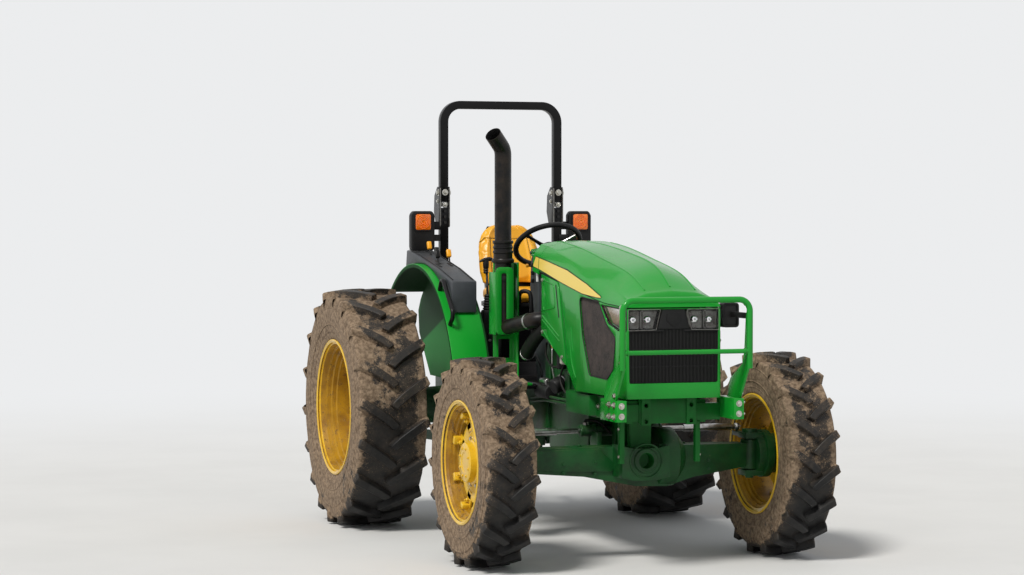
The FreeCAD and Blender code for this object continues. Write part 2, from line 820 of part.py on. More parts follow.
def build_rear_axle():
    half = s.rear_housing_half_width
    body = box("rear_housing", (-half, half), (housing_front, housing_rear),
               (s.rear_housing_bottom, s.rear_housing_top))
    pieces = [body]
    trumpet_end = s.rear_track / 2 + s.rear_disc_offset - s.rear_hub_length - s.fit_gap
    for label, side in SIDES:
        near = half - 10
        if side == LEFT:
            trumpet = cone("trumpet_left", "X", (near, trumpet_end), rear, rear_hub, s.trumpet_radius, 92)
        else:
            trumpet = cone("trumpet_right", "X", (-trumpet_end, -near), rear, rear_hub, 92, s.trumpet_radius)
        pieces.append(trumpet)
        pieces.append(box("post_seat_" + label, span(side, 330, 410),
                          (rear - 90, rear + s.post_from_rear_axle + 40), (rear_hub + 80, post_seat_top)))
    rockshaft_box = box("rockshaft_box", (-150, 150), (arm_pivot_y - 70, arm_pivot_y + 70),
                        (s.rear_housing_top, arm_pivot_z + 75))
    pieces.append(rockshaft_box)
    bore = rod("rockshaft_bore", "X", (-160, 160), arm_pivot_y, arm_pivot_z, rockshaft_radius + s.fit_gap)
    pto_bore = rod("pto_bore", "Y", (housing_rear - pto_depth - 5, housing_rear + 5), 0, s.pto_height,
                   s.pto_journal + s.fit_gap)
    node("rear_axle_housing", cut("rear_axle_housing", fuse("rear_axle_casting", *pieces), bore, pto_bore))


def build_driveshaft():
    """The shaft that drives the front axle, under its guard tube."""
    start = front + 195
    guard = rod("shaft_guard", "Y", (start + 60, engine_rear + 10), s.diff_offset, front_hub, 34)
    shaft = rod("shaft_end", "Y", (start, start + 60), s.diff_offset, front_hub, 20)
    drop_box = box("drop_box", (s.diff_offset - 60, s.diff_offset + 60), (engine_rear, engine_rear + 160),
                   (front_hub - 70, s.transmission_bottom))
    node("front_driveshaft", fuse("front_driveshaft", guard, shaft, drop_box))


build_engine()
build_radiator()
build_transmission()
build_rear_axle()
build_driveshaft()


# Hood, the cowl that closes its rear end, and the fixed side panels
def hood_value(station, column):
    return cell("hood_" + station + "_" + column)


def hood_outline(name, station, place, wall, floor):
    """One cross-section of the hood, drawn in by the wall's thickness."""
    half = hood_value(station, "half") - wall
    right = [
        (half, floor), (half, hood_value(station, "seam")),
        (half - 4, hood_value(station, "band") - wall * 0.6),
        (s.crease_x - wall * 0.4, hood_value(station, "crease") - wall),
        (s.flank_x, hood_value(station, "flank") - wall),
        (0, hood_value(station, "crown") - wall)]
    left = [(-across, up) for across, up in reversed(right[:-1])]
    sketch = corner_sketch(name + "_" + station, X, Z, right + left)
    bind(sketch, "Placement.Base.y", place)
    return sketch


def hood_body(name, stations, wall, floor, last_place=None):
    sketches = []
    for station in stations:
        place = front + hood_value(station, "behind")
        if station == stations[-1] and last_place is not None:
            place = last_place
        sketches.append(hood_outline(name, station, place, wall, floor))
    return loft(name, sketches)


HOOD_STATIONS = ("rear", "waist", "middle", "brow", "nose", "front")
hood_front = front + hood_value("front", "behind")
hood_rear = front + hood_value("rear", "behind")
cowl_rear = front + hood_value("cowl", "behind")
hood_hinge_y = rear - s.hood_hinge_from_rear_axle
seam_drop = 4


def build_hood():
    outer = hood_body("hood_outer", HOOD_STATIONS, as_size(0), s.hood_bottom)
    inner = hood_body("hood_inner", HOOD_STATIONS, s.hood_wall, s.hood_bottom - 20,
                      hood_front + s.hood_wall * 2)
    # everything behind the slot and under the seam belongs to the fixed panels
    clear = slab("hood_clear", "side", (-400, 400), [
        (hood_rear + 20, 800), (hood_rear + 20, hood_value("rear", "seam") - seam_drop),
        (front + 405, hood_value("waist", "seam") - seam_drop), (front + 372, 1470), (front + 250, 1035),
        (front + 128, 915), (front + 128, 800)])
    behind = box("hood_behind", (-400, 400), (hood_rear, hood_rear + 40), (800, 1800))
    grille_cut = slab("grille_cut", "front", (hood_front - 10, hood_front + 30), [
        (-246, s.grille_bottom), (246, s.grille_bottom), (250, s.grille_top), (-250, s.grille_top)])
    tools = [inner, clear, behind, grille_cut]
    for label, side in SIDES:
        tools.append(slab("screen_cut_" + label, "side", span(side, 230, 300), SCREEN_EDGE))
        tools.append(slab("side_lamp_cut_" + label, "side", span(side, 230, 300), SIDE_LAMP_EDGE))
    node("hood_shell", cut("hood_shell", outer, *tools))


SCREEN_EDGE = [
    (front + 66, 1425), (front + 20, 1221), (front - 79, 1011), (front - 333, 1002),
    (front - 420, 1060), (front - 450, 1225), (front - 322, 1290), (front - 208, 1408)]
SIDE_LAMP_EDGE = [
    (front - 232, 1392), (front - 338, 1294), (front - 480, 1262), (front - 640, 1262), (front - 640, 1378)]


def build_grille():
    """The mesh panels: one across the front and one in each side of the hood."""
    front_panel = slab("front_mesh", "front", (hood_front + 5, hood_front + 14), [
        (-246, s.grille_bottom), (246, s.grille_bottom), (248, 1262), (60, 1262), (60, s.grille_top),
        (-60, s.grille_top), (-60, 1262), (-248, 1262)])
    pieces = [front_panel]
    for label, side in SIDES:
        near = hood_value("front", "half") - s.hood_wall - 1
        pieces.append(slab("side_mesh_" + label, "side", span(side, near, near + s.hood_wall), SCREEN_EDGE))
    node("grille_screens", together("grille_screens", *pieces))


def build_headlamps():
    lamps = []
    for label, side in SIDES:
        face = slab("lamp_face_" + label, "front", (hood_front + 1, hood_front + 60), [
            (side * 92, 1272), (side * 253, 1270), (side * 253, 1374), (side * 66, 1374)])
        flank = slab("lamp_flank_" + label, "side", span(side, 240, 259), SIDE_LAMP_EDGE[:3] + [
            (hood_front + 1, 1262), (hood_front + 1, 1378)])
        lamps.append(fuse("lamp_" + label, face, flank))
    node("headlamps", together("headlamps", *lamps))


def build_rear_cowl():
    """The hood's rear end, with the same section, and the two arms that hinge it."""
    sections = []
    inner_sections = []
    for station, place in (("rear", hood_rear), ("cowl", cowl_rear)):
        floor = hood_value(station, "seam") - 20
        sections.append(hood_outline("cowl_outer", station, place, as_size(0), floor))
        inner_sections.append(hood_outline("cowl_inner", station, place, s.hood_wall, floor - 20))
    pieces = [cut("cowl_shell", loft("cowl_outer", sections), loft("cowl_inner", inner_sections))]
    eye_radius = 22
    for label, side in SIDES:
        across = span(side, s.hood_arm_inside, s.hood_arm_inside + 12)
        pieces.append(slab("hinge_arm_" + label, "side", across, [
            (hood_rear + 5, 1658), (cowl_rear + 10, 1658), (hood_hinge_y, s.hood_hinge_height - eye_radius),
            (hood_hinge_y, s.hood_hinge_height + eye_radius), (cowl_rear + 20, 1694),
            (cowl_rear - 2, 1701), (hood_rear + 5, 1691)]))
        pieces.append(rod("hinge_eye_" + label, "X", across, hood_hinge_y, s.hood_hinge_height, eye_radius))
    reach = s.hood_arm_inside + 30
    hole = rod("hinge_eye_hole", "X", (-reach, reach), hood_hinge_y, s.hood_hinge_height,
               s.hood_hinge_radius + s.fit_gap)
    node("rear_cowl", cut("rear_cowl", fuse("cowl_joined", *pieces), hole))


def build_side_panels():
    """Fixed panels beside the rear of the engine, split from the hood by a slot."""
    panels = []
    for label, side in SIDES:
        outside = hood_value("waist", "half")
        panel = slab("panel_" + label, "side", span(side, outside - 14, outside), [
            (front + 669, 1531), (front + 405, 1494), (front + 372 + s.hood_slot, 1466),
            (front + 254 + s.hood_slot, 1045), (front + 296, 1053), (front + 560, 1166),
            (front + 673, 1190)])
        stay = box("panel_stay_" + label, span(side, s.engine_half_width, outside - 10),
                   (front + 420, front + 460), (1120, 1160))
        panels.append(fuse("panel_piece_" + label, panel, stay))
    node("side_panels", together("side_panels", *panels))


build_hood()
build_grille()
build_headlamps()
build_rear_cowl()
build_side_panels()


# Operator's station
platform_front = engine_rear - 70
sheet_low = s.transmission_top
sheet_high = sheet_low + s.platform_sheet
wheel_y = rear - s.wheel_from_rear_axle
column_end = 45


def build_platform():
    half = s.platform_half_width
    notch = s.engine_half_width + 10
    floor = slab("floor_sheet", "floor", (sheet_low, sheet_high), [
        (-half, platform_front), (-notch, platform_front), (-notch, engine_rear + 5), (notch, engine_rear + 5),
        (notch, platform_front), (half, platform_front), (half, rear - 385), (-half, rear - 385)])
    riser = box("riser", (-half, half), (rear - 385, rear - 365), (sheet_low, s.deck_top))
    deck = box("deck", (-half, half), (rear - 385, rear + 45), (s.deck_top - s.platform_sheet, s.deck_top))
    pieces = [floor, riser, deck]
    for label, side in SIDES:
        upright = box("step_side_" + label, span(side, half - 12, half), (platform_front, platform_front + 320),
                      (560, sheet_high))
        tread = box("step_tread_" + label, span(side, half - 12, half + 150),
                    (platform_front + 20, platform_front + 300), (560, 580))
        middle = box("step_middle_" + label, span(side, half - 12, half + 110),
                     (platform_front + 20, platform_front + 300), (725, 742))
        pieces += [upright, tread, middle]
    node("platform", fuse("platform", *pieces))


def build_dash():
    """The instrument housing, the bulkhead in front of it and the steering column's shroud."""
    half = s.dash_half_width
    base_front = hood_rear + 80
    block_gap = 5
    body = slab("dash_body", "side", (-half, half), [
        (base_front, s.engine_top + block_gap), (base_front, 1636), (base_front + 120, 1655),
        (hood_hinge_y - 25, 1671), (hood_hinge_y + 30, 1664), (hood_hinge_y + 60, 1590), (hood_hinge_y + 80, 1440),
        (base_front + 330, 1200), (base_front + 260, sheet_high), (engine_rear + block_gap, sheet_high),
        (engine_rear + block_gap, s.engine_top + block_gap)])
    bulkhead = slab("bulkhead", "front", (base_front - 14, base_front), [
        (-262, s.engine_top), (262, s.engine_top), (262, 1560), (222, 1640), (-222, 1640), (-262, 1560)])
    tilt = s.wheel_tilt
    # the column's foot stays inside the housing when the wheel is set higher or lower
    column_start = (wheel_y - base_front - 200) / sine(tilt)
    end = (0, wheel_y - sine(tilt) * column_end, s.wheel_height - cosine(tilt) * column_end)
    start = (0, wheel_y - sine(tilt) * column_start, s.wheel_height - cosine(tilt) * column_start)
    column = strut("column", start, end, 42)
    pins = [rod("hood_pin_" + label, "X", span(side, half - 10, s.hood_arm_inside + 20), hood_hinge_y,
                s.hood_hinge_height, s.hood_hinge_radius) for label, side in SIDES]
    node("dash", fuse("dash", body, bulkhead, column, *pins))


def build_steering_wheel():
    tilt = s.wheel_tilt
    lean = Rotation(X, -s.wheel_tilt.value)
    rim = doc.addObject("Part::Torus", "wheel_torus")
    bind(rim, "Radius1", s.wheel_rim_radius)
    bind(rim, "Radius2", s.wheel_tube_radius)
    rim.Placement = Placement(Vector(), lean)
    bind_place(rim, "Placement.Base", (0, wheel_y, s.wheel_height))
    pieces = [rim]
    down = 30
    for i, angle in enumerate((90, 210, 330)):
        turn = as_size(angle)
        across = cosine(turn) * s.wheel_rim_radius
        along = sine(turn) * s.wheel_rim_radius
        outer = (across, wheel_y + along * cosine(tilt), s.wheel_height - along * sine(tilt))
        hub = (0, wheel_y - sine(tilt) * down, s.wheel_height - cosine(tilt) * down)
        pieces.append(strut("wheel_spoke%d" % i, hub, outer, 9))
    hub_low = column_end - s.fit_gap
    hub_high = 8
    low = (0, wheel_y - sine(tilt) * hub_low, s.wheel_height - cosine(tilt) * hub_low)
    high = (0, wheel_y - sine(tilt) * hub_high, s.wheel_height - cosine(tilt) * hub_high)
    pieces.append(strut("wheel_hub", low, high, 38))
    node("steering_wheel", fuse("steering_wheel", *pieces))


def build_seat():
    half = s.seat_half_width
    cushion_front = rear - 385
    cushion_bottom = s.seat_height - 94
    top = s.seat_height + s.seat_back_height
    low = s.seat_height + s.fit_gap
    base = box("seat_box", (-170, 170), (rear - 325, rear - 10), (s.deck_top, cushion_bottom - 30))
    pan = box("seat_pan", (-190, 190), (rear - 350, rear + 20), (cushion_bottom - 30, cushion_bottom - s.fit_gap))
    back_slope_y = rear + 124
    back_slope_z = top - 114
    back_gap = s.fit_gap + 0.2
    spine = slab("seat_spine", "side", (-150, 150), [
        (rear + 2, cushion_bottom - 30), (rear + 50, cushion_bottom - 30), (back_slope_y + 26, back_slope_z - 6),
        (back_slope_y + back_gap, back_slope_z), (rear + 24 + back_gap, low)])
    node("seat_base", fuse("seat_base", base, pan, spine))
    cushion = slab("seat_cushion", "side", (-half, half), [
        (cushion_front, cushion_bottom + 10), (cushion_front + 20, cushion_bottom), (rear - 22, cushion_bottom),
        (rear - 2, s.seat_height - 6), (rear - 60, s.seat_height), (cushion_front + 60, s.seat_height),
        (cushion_front, s.seat_height - 25)])
    node("seat_cushion", cushion)
    back = slab("seat_back", "front", (rear - 100, rear + 300), [
        (-half + 10, low), (half - 10, low), (half - 18, top - 180), (half - 60, top - 45), (half - 120, top),
        (-half + 120, top), (-half + 60, top - 45), (-half + 18, top - 180)])
    lean = slab("seat_back_lean", "side", (-half, half), [
        (rear - 40, low), (rear + 24, low), (back_slope_y, back_slope_z), (back_slope_y + 13, top),
        (rear + 90, top), (rear + 55, top - 150)])
    node("seat_back", common("seat_back_solid", back, lean))


def build_fender(label, side):
    radius = s.rear_tyre_radius + s.fender_clearance
    sheet_thickness = s.fender_sheet
    lip = s.fender_lip
    inside = s.platform_half_width
    centre = (0, rear, rear_hub)
    crown = turned("crown_" + label, "X", centre, [
        (side * inside, radius), (side * lip, radius), (side * lip, radius - 24),
        (side * (lip - sheet_thickness), radius - 24), (side * (lip - sheet_thickness), radius - sheet_thickness),
        (side * inside, radius - sheet_thickness)], start=-38, sweep=118)
    blank = rod("wall_blank_" + label, "X", span(side, inside, inside + sheet_thickness), rear, rear_hub, radius)
    wall = common("fender_wall_" + label, blank, slab(
        "wall_edge_" + label, "side", span(side, inside, inside + sheet_thickness), [
            (rear - radius, post_seat_top), (rear + 380, post_seat_top), (rear + 620, 1120), (rear + 640, 1260),
            (rear + 540, 1400), (rear + 540, rear_hub + radius), (rear - radius, rear_hub + radius)]))
    node("fender_" + label, fuse("fender_" + label, crown, wall))


def build_consoles():
    radius = s.rear_tyre_radius + s.fender_clearance
    consoles = []
    for label, side in SIDES:
        body = slab("console_body_" + label, "side", span(side, 430, 585), [
            (rear + 290, 1645), (rear + 112, 1624), (rear - 347, 1545), (rear - 650, 1475),
            (rear - 650, 1290), (rear + 340, 1400)])
        clear = rod("console_seat_" + label, "X", span(side, 420, 600), rear, rear_hub, radius)
        consoles.append(cut("console_" + label, body, clear))
    node("consoles", together("consoles", *consoles))


def build_handles():
    """A bent grab bar on each fender, standing on its outer face."""
    radius = s.rear_tyre_radius + s.fender_clearance
    bars = []
    for label, side in SIDES:
        x = side * 605
        places = []
        for angle, lift in ((124, 0), (124, 95), (143, 95), (143, 0)):
            turn = as_size(angle)
            out = radius + lift
            places.append((x, rear + cosine(turn) * out, rear_hub + sine(turn) * out))
        bars.append(tube("handle_" + label, places, 38, 13))
    node("grab_handles", together("grab_handles", *bars))


def build_levers():
    """The range lever, which stands on the floor in front of the seat."""
    lever_x = -300
    lever_y = rear - 450
    stalk = tube("range_stalk", [(lever_x, lever_y, sheet_high + 20), (lever_x, lever_y, 1420),
                                 (lever_x + 10, lever_y + 50, 1585)], 60, 9)
    knob = box("range_knob", (lever_x - 35, lever_x + 50), (lever_y + 36, lever_y + 64), (1575, 1612))
    boot = cone("range_boot", "Z", (sheet_high, 1400), lever_x, lever_y, 45, 26)
    node("gear_lever", fuse("gear_lever", stalk, knob, boot))


build_platform()
build_dash()
build_steering_wheel()
build_seat()
for label, side in SIDES:
    build_fender(label, side)
build_consoles()
build_handles()
build_levers()


# Roll bar: fixed posts with a hinged hoop above
post_x = s.post_spread / 2
post_y = rear + s.post_from_rear_axle
half_post = s.post_section / 2
hinge_z = s.hinge_height
hoop_pin = 10
pod_inside = 436


def build_posts():
    posts = []
    for label, side in SIDES:
        centre = side * post_x
        post = box("post_" + label, (centre - half_post, centre + half_post),
                   (post_y - half_post, post_y + half_post), (post_seat_top, hinge_z - 95))
        pieces = [post]
        for cheek, shift in (("near", -1), ("far", 1)):
            low = centre + shift * (half_post + 4) - 4
            pieces.append(slab("hinge_cheek_%s_%s" % (label, cheek), "side", (low, low + 8), [
                (post_y - half_post, hinge_z - 200), (post_y + half_post + 20, hinge_z - 215),
                (post_y + half_post + 70, hinge_z - 120), (post_y + half_post + 60, hinge_z - 20),
                (post_y + half_post, hinge_z + 34), (post_y - half_post, hinge_z + 34)]))
        pieces.append(box("hinge_back_" + label, (centre - half_post - 8, centre + half_post + 8),
                          (post_y + half_post, post_y + half_post + 8), (hinge_z - 200, hinge_z - 130)))
        pieces.append(box("pod_arm_" + label, span(side, post_x + half_post, pod_inside),
                          (post_y - 25, post_y + 5), (s.pod_bottom + 130, s.pod_bottom + 180)))
        joined = fuse("post_joined_" + label, *pieces)
        bore = rod("hinge_bore_" + label, "X", (centre - 60, centre + 60), post_y, hinge_z, hoop_pin + s.fit_gap)
        posts.append(cut("post_piece_" + label, joined, bore))
    node("rops_posts", together("rops_posts", *posts))


def build_hoop():
    top = s.hoop_top - half_post
    section = s.post_section - 0.8
    profile = corner_sketch("hoop_section", X, Y, [
        (-post_x - section / 2, post_y - section / 2), (-post_x + section / 2, post_y - section / 2),
        (-post_x + section / 2, post_y + section / 2), (-post_x - section / 2, post_y + section / 2)])
    bind(profile, "Placement.Base.z", hinge_z - 60)
    bar = swept("hoop_bar", profile, [(-post_x, post_y, hinge_z - 60), (-post_x, post_y, top),
                                      (post_x, post_y, top), (post_x, post_y, hinge_z - 60)],
                s.hoop_corner_radius)
    pieces = [bar]
    for label, side in SIDES:
        pieces.append(rod("hinge_pin_" + label, "X", (side * post_x - 40, side * post_x + 40), post_y, hinge_z,
                          hoop_pin))
    node("rops_hoop", fuse("rops_hoop", *pieces))


def build_lamp_pods():
    pods = []
    lenses = []
    for label, side in SIDES:
        pod_y = post_y - 10
        low = s.pod_bottom
        outline = [(side * pod_inside, low + 10), (side * 470, low), (side * 550, low), (side * 585, low + 50),
                   (side * 585, low + 220), (side * 560, low + 245), (side * 460, low + 245),
                   (side * pod_inside, low + 225)]
        pods.append(slab("pod_" + label, "front", (pod_y - 32, pod_y + 32), outline))
        lens = [(side * 462, low + 130), (side * 562, low + 130), (side * 562, low + 228), (side * 462, low + 228)]
        lenses.append(slab("amber_" + label, "front", (pod_y - 42, pod_y - 32), lens))
        lenses.append(slab("red_" + label, "front", (pod_y + 32, pod_y + 40), lens))
    plate_x = s.guard_half_width - s.guard_plate
    work = box("work_lamp", (plate_x - 46, plate_x + 48), (front - 560, front - 478), (1276, 1405))
    work_arm = box("work_lamp_arm", (plate_x, s.guard_half_width), (guard_plate_back, front - 555), (1330, 1360))
    pods.append(fuse("work_lamp_piece", work, work_arm))
    node("lamp_pods", together("lamp_pods", *pods))
    node("lamp_lenses", together("lamp_lenses", *lenses))


build_posts()
build_hoop()
build_lamp_pods()


# Exhaust beside the hood and the slotted channel that carries it
def build_exhaust():
    x = -s.stack_offset
    y = engine_rear + s.stack_from_engine
    stack = tube("stack", [(x, y, 1180), (x, y, s.stack_top), (x - 78, y - 56, s.stack_top + 70)],
                 90, s.stack_radius)
    port_y = engine_rear - 150
    elbow = tube("elbow", [(-head_half, port_y, 1285), (-300, port_y, 1285), (x, y, 1285)], 60, 44)
    # the lower two bands bear on the channel's back
    bands = [rod("stack_band%d" % i, "Z", (low, high), x, y, s.clamp_radius)
             for i, (low, high) in enumerate(((1190, 1222), (1480, 1512), (1600, 1715)))]
    node("exhaust", fuse("exhaust", stack, elbow, *bands))
    back_y = y + s.clamp_radius
    channel = fuse(
        "channel",
        box("channel_back", (x - 40, x + 95), (back_y, back_y + 10), (sheet_high, 1590)),
        box("channel_near", (x + 85, x + 95), (back_y - 60, back_y + 10), (sheet_high, 1590)),
        box("channel_shoe", (x - 14, x + 95), (platform_front, back_y + 10), (sheet_high, sheet_high + 14)))
    slots = [box("channel_slot%d" % i, (x - 10, x + 60), (back_y - 5, back_y + 15), (z, z + 110))
             for i, z in enumerate((1040, 1220, 1400))]
    node("exhaust_bracket", cut("exhaust_bracket", channel, *slots))


build_exhaust()


# Rear linkage, drawbar and power take-off
link_pivot_y = rear + 55
link_pivot_z = 480
link_pivot_x = 255
link_end_y = rear + s.link_reach - 36
link_end_x = s.link_spread / 2
# the lift rods hang between a pin on each lift arm and one on each lower link
rod_top_x = 240
rod_low_x = 292
rod_top_y = arm_pivot_y + s.lift_arm_length
rod_low_y = link_pivot_y + s.lift_arm_length


def build_lower_links():
    links = []
    for label, side in SIDES:
        bar = slab("link_bar_" + label, "floor", (link_pivot_z - 30, link_pivot_z + 30), [
            (side * (link_pivot_x - 10), link_pivot_y), (side * (link_pivot_x + 10), link_pivot_y),
            (side * (link_end_x + 10), link_end_y), (side * (link_end_x - 10), link_end_y)])
        eye = rod("link_eye_" + label, "X", span(side, link_end_x - 20, link_end_x + 20), link_end_y,
                  link_pivot_z, 36)
        knuckle_eye = rod("link_front_eye_" + label, "X", span(side, link_pivot_x - 18, link_pivot_x + 18),
                          link_pivot_y, link_pivot_z, 34)
        lift_stud = rod("link_stud_" + label, "X", span(side, rod_low_x - 20, rod_low_x + 36), rod_low_y,
                        link_pivot_z, s.lift_pin_radius)
        joined = fuse("link_joined_" + label, bar, eye, knuckle_eye, lift_stud)
        bores = [rod("link_bore_" + label, "X", span(side, link_end_x - 30, link_end_x + 30), link_end_y,
                     link_pivot_z, s.link_ball_bore),
                 rod("link_pivot_bore_" + label, "X", span(side, link_pivot_x - 30, link_pivot_x + 30),
                     link_pivot_y, link_pivot_z, s.link_pin_radius + s.fit_gap)]
        links.append(cut("link_" + label, joined, *bores))
    node("lower_links", together("lower_links", *links))


def build_lift_arms():
    shaft = rod("rockshaft", "X", (-225, 225), arm_pivot_y, arm_pivot_z, rockshaft_radius)
    pieces = [shaft]
    for label, side in SIDES:
        pieces.append(slab("lift_arm_" + label, "side", span(side, 190, 215), [
            (arm_pivot_y - 50, arm_pivot_z - 40), (arm_pivot_y + 40, arm_pivot_z - 50),
            (rod_top_y + 24, arm_pivot_z - 24), (rod_top_y + 24, arm_pivot_z + 24),
            (arm_pivot_y, arm_pivot_z + 55), (arm_pivot_y - 50, arm_pivot_z + 40)]))
        pieces.append(rod("lift_pin_" + label, "X", span(side, 200, rod_top_x + 22), rod_top_y, arm_pivot_z,
                          s.lift_pin_radius))
    node("lift_arms", fuse("lift_arms", *pieces))


def build_lift_rods():
    """Rods from the lift arms down to the lower links, with an eye at each end."""
    rods = []
    for label, side in SIDES:
        top = (side * rod_top_x, rod_top_y, arm_pivot_z)
        low = (side * rod_low_x, rod_low_y, as_size(link_pivot_z))
        # the leveling box takes the middle of the rod
        box_ends = [[a + (b - a) * share for a, b in zip(top, low)] for share in (0.45, 0.82)]
        pieces = [strut("rod_shank_" + label, top, low, 13), strut("rod_box_" + label, *box_ends, 22)]
        holes = []
        for end, (x, y, z) in (("top", top), ("low", low)):
            pieces.append(rod("rod_eye_%s_%s" % (end, label), "X", (x - 13, x + 13), y, z, 26))
            holes.append(rod("rod_hole_%s_%s" % (end, label), "X", (x - 30, x + 30), y, z,
                             s.lift_pin_radius + s.fit_gap))
        rods.append(cut("lift_rod_" + label, fuse("rod_joined_" + label, *pieces), *holes))
    node("lift_rods", together("lift_rods", *rods))


def build_drawbar():
    """The bar, and apart from it the hanger, the frame and the links' ears that carry it."""
    z = s.drawbar_height
    half = 16
    hole_y = housing_rear + 100 + 356
    bar = box("bar", (-32, 32), (rear - 380, hole_y + 40), (z - half, z + half))
    hole = rod("hitch_hole", "Z", (z - 30, z + 30), 0, hole_y, s.drawbar_hole)
    node("drawbar", cut("drawbar", bar, hole))

    under = s.rear_housing_bottom
    above = z + half + s.fit_gap
    below = z - half - s.fit_gap
    frame_y = (housing_rear - 60, housing_rear + 15)
    hanger = box("drawbar_hanger", (-70, 70), (rear - 380, rear - 300), (above, s.transmission_bottom))
    yoke = slab("drawbar_yoke", "front", frame_y, [
        (-150, above), (150, above), (150, z + 34), (190, under), (-190, under), (-150, z + 34)])
    strap = box("drawbar_strap", (-150, 150), frame_y, (below - 18, below))
    cheeks = [box("drawbar_cheek_" + label, span(side, 60, 150), frame_y, (below, above)) for label, side in SIDES]
    pins = [rod("link_pin_" + label, "X", span(side, 180, link_pivot_x + 22), link_pivot_y, link_pivot_z,
                s.link_pin_radius) for label, side in SIDES]
    ears = [box("link_ear_" + label, span(side, 170, 222), (link_pivot_y - 45, link_pivot_y + 45),
                (link_pivot_z - 40, under)) for label, side in SIDES]
    frame = fuse("drawbar_frame", yoke, strap, *cheeks)
    sides = [fuse("link_side_" + label, ear, pin) for (label, side), ear, pin in zip(SIDES, ears, pins)]
    node("link_brackets", together("link_brackets", hanger, frame, *sides))


def build_hitch_bracket():
    """The power take-off's guard and the top link's ears on the housing's rear face."""
    base = box("rear_cover", (-140, 140), (housing_rear, housing_rear + 18), (560, s.rear_housing_top - 3))
    roof = box("pto_roof", (-110, 110), (housing_rear + 10, housing_rear + 150), (720, 730))
    pieces = [base, roof]
    for label, side in SIDES:
        pieces.append(box("pto_side_" + label, span(side, 100, 110), (housing_rear + 10, housing_rear + 150),
                          (600, 730)))
        pieces.append(box("top_ear_" + label, span(side, 26, 44), (housing_rear + 10, housing_rear + 100),
                          (790, 880)))
    holes = [rod("top_link_hole", "X", (-60, 60), housing_rear + 65, 835, s.top_link_bore),
             rod("cover_hole", "Y", (housing_rear - 5, housing_rear + 30), 0, s.pto_height, 45)]
    node("hitch_bracket", cut("hitch_bracket", fuse("hitch_joined", *pieces), *holes))
    journal_end = housing_rear + 12
    journal = rod("pto_journal", "Y", (housing_rear - pto_depth, journal_end), 0, s.pto_height, s.pto_journal)
    stub = rod("pto_stub", "Y", (journal_end, housing_rear + 100), 0, s.pto_height, s.pto_radius)
    node("pto_shaft", fuse("pto_shaft", journal, stub))


build_lower_links()
build_lift_arms()
build_lift_rods()
build_drawbar()
build_hitch_bracket()


def export_nodes():
    """Recompute, check every object and write one file for each sub-part."""
    doc.recompute()
    for obj in doc.Objects:
        if "Invalid" in obj.State or "Error" in obj.State:
            raise RuntimeError("%s did not compute: %s" % (obj.Name, obj.State))
    os.makedirs("parts", exist_ok=True)
    for name, solid in nodes:
        shape = solid.Shape
        if shape.isNull() or not shape.isValid() or not shape.Solids:
            raise RuntimeError("%s has no valid solid" % name)
        shape.exportStep("parts/" + name + ".step")
        low = shape.BoundBox
        print("%-20s %2d solids %8.2f litres  x %6.0f %6.0f  y %6.0f %6.0f  z %6.0f %6.0f" % (
            name, len(shape.Solids), shape.Volume / 1e6, low.XMin, low.XMax, low.YMin, low.YMax,
            low.ZMin, low.ZMax))


export_nodes()
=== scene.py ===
"""The farm tractor's looks: paint, mud, rubber, glass and fine pieces around the fixed frame."""

import bmesh
import bpy
import json
import math
from mathutils import Matrix, Vector, noise
from mathutils.bvhtree import BVHTree
from mathutils.kdtree import KDTree


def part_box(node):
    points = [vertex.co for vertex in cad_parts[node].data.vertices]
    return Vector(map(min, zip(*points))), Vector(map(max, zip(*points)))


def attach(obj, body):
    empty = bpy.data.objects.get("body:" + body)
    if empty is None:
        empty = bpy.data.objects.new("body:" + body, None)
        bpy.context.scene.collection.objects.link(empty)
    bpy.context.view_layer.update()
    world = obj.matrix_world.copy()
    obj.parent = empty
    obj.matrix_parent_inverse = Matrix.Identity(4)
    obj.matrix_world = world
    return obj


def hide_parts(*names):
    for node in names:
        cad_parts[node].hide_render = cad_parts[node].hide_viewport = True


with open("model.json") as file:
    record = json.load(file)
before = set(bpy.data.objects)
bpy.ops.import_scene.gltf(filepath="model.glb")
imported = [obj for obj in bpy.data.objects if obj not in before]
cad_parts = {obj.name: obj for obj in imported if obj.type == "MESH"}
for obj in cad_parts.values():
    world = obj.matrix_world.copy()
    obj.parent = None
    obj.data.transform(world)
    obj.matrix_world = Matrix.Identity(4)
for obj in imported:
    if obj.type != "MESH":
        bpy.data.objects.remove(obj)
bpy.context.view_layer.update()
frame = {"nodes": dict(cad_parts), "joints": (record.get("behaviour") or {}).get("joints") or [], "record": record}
scene = bpy.context.scene
LEFT = 1
RIGHT = -1
SIDES = (("left", LEFT), ("right", RIGHT))


# Where things are, in metres, from the frame
def middle(node):
    low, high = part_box(node)
    return (low + high) / 2


def joint_place(name):
    for joint in frame["joints"]:
        if joint["name"] == name:
            return Vector(joint["pos_m"])
    raise KeyError(name)


AXLE_FRONT = middle("tyre_front_left")
AXLE_REAR = middle("tyre_rear_left")
HOOD_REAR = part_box("hood_shell")[1].y
HOOD_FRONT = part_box("hood_shell")[0].y
LUGS = 18


# Meshes
def arc(start, corner, end, steps):
    """A curve from one run to the next, drawn towards the corner between them."""
    shares = [step / steps for step in range(steps + 1)]
    return [start.lerp(corner, share).lerp(corner.lerp(end, share), share) for share in shares]


def eased(before, here, after, radius, most):
    """Where a corner's arc starts and ends, at most a share of each run away from the corner."""
    way_in = (here - before).normalized()
    way_out = (after - here).normalized()
    turn = way_in.angle(way_out, 0.0)
    trim = min(radius * math.tan(turn / 2), (here - before).length * most, (after - here).length * most)
    return here - way_in * trim, here + way_out * trim


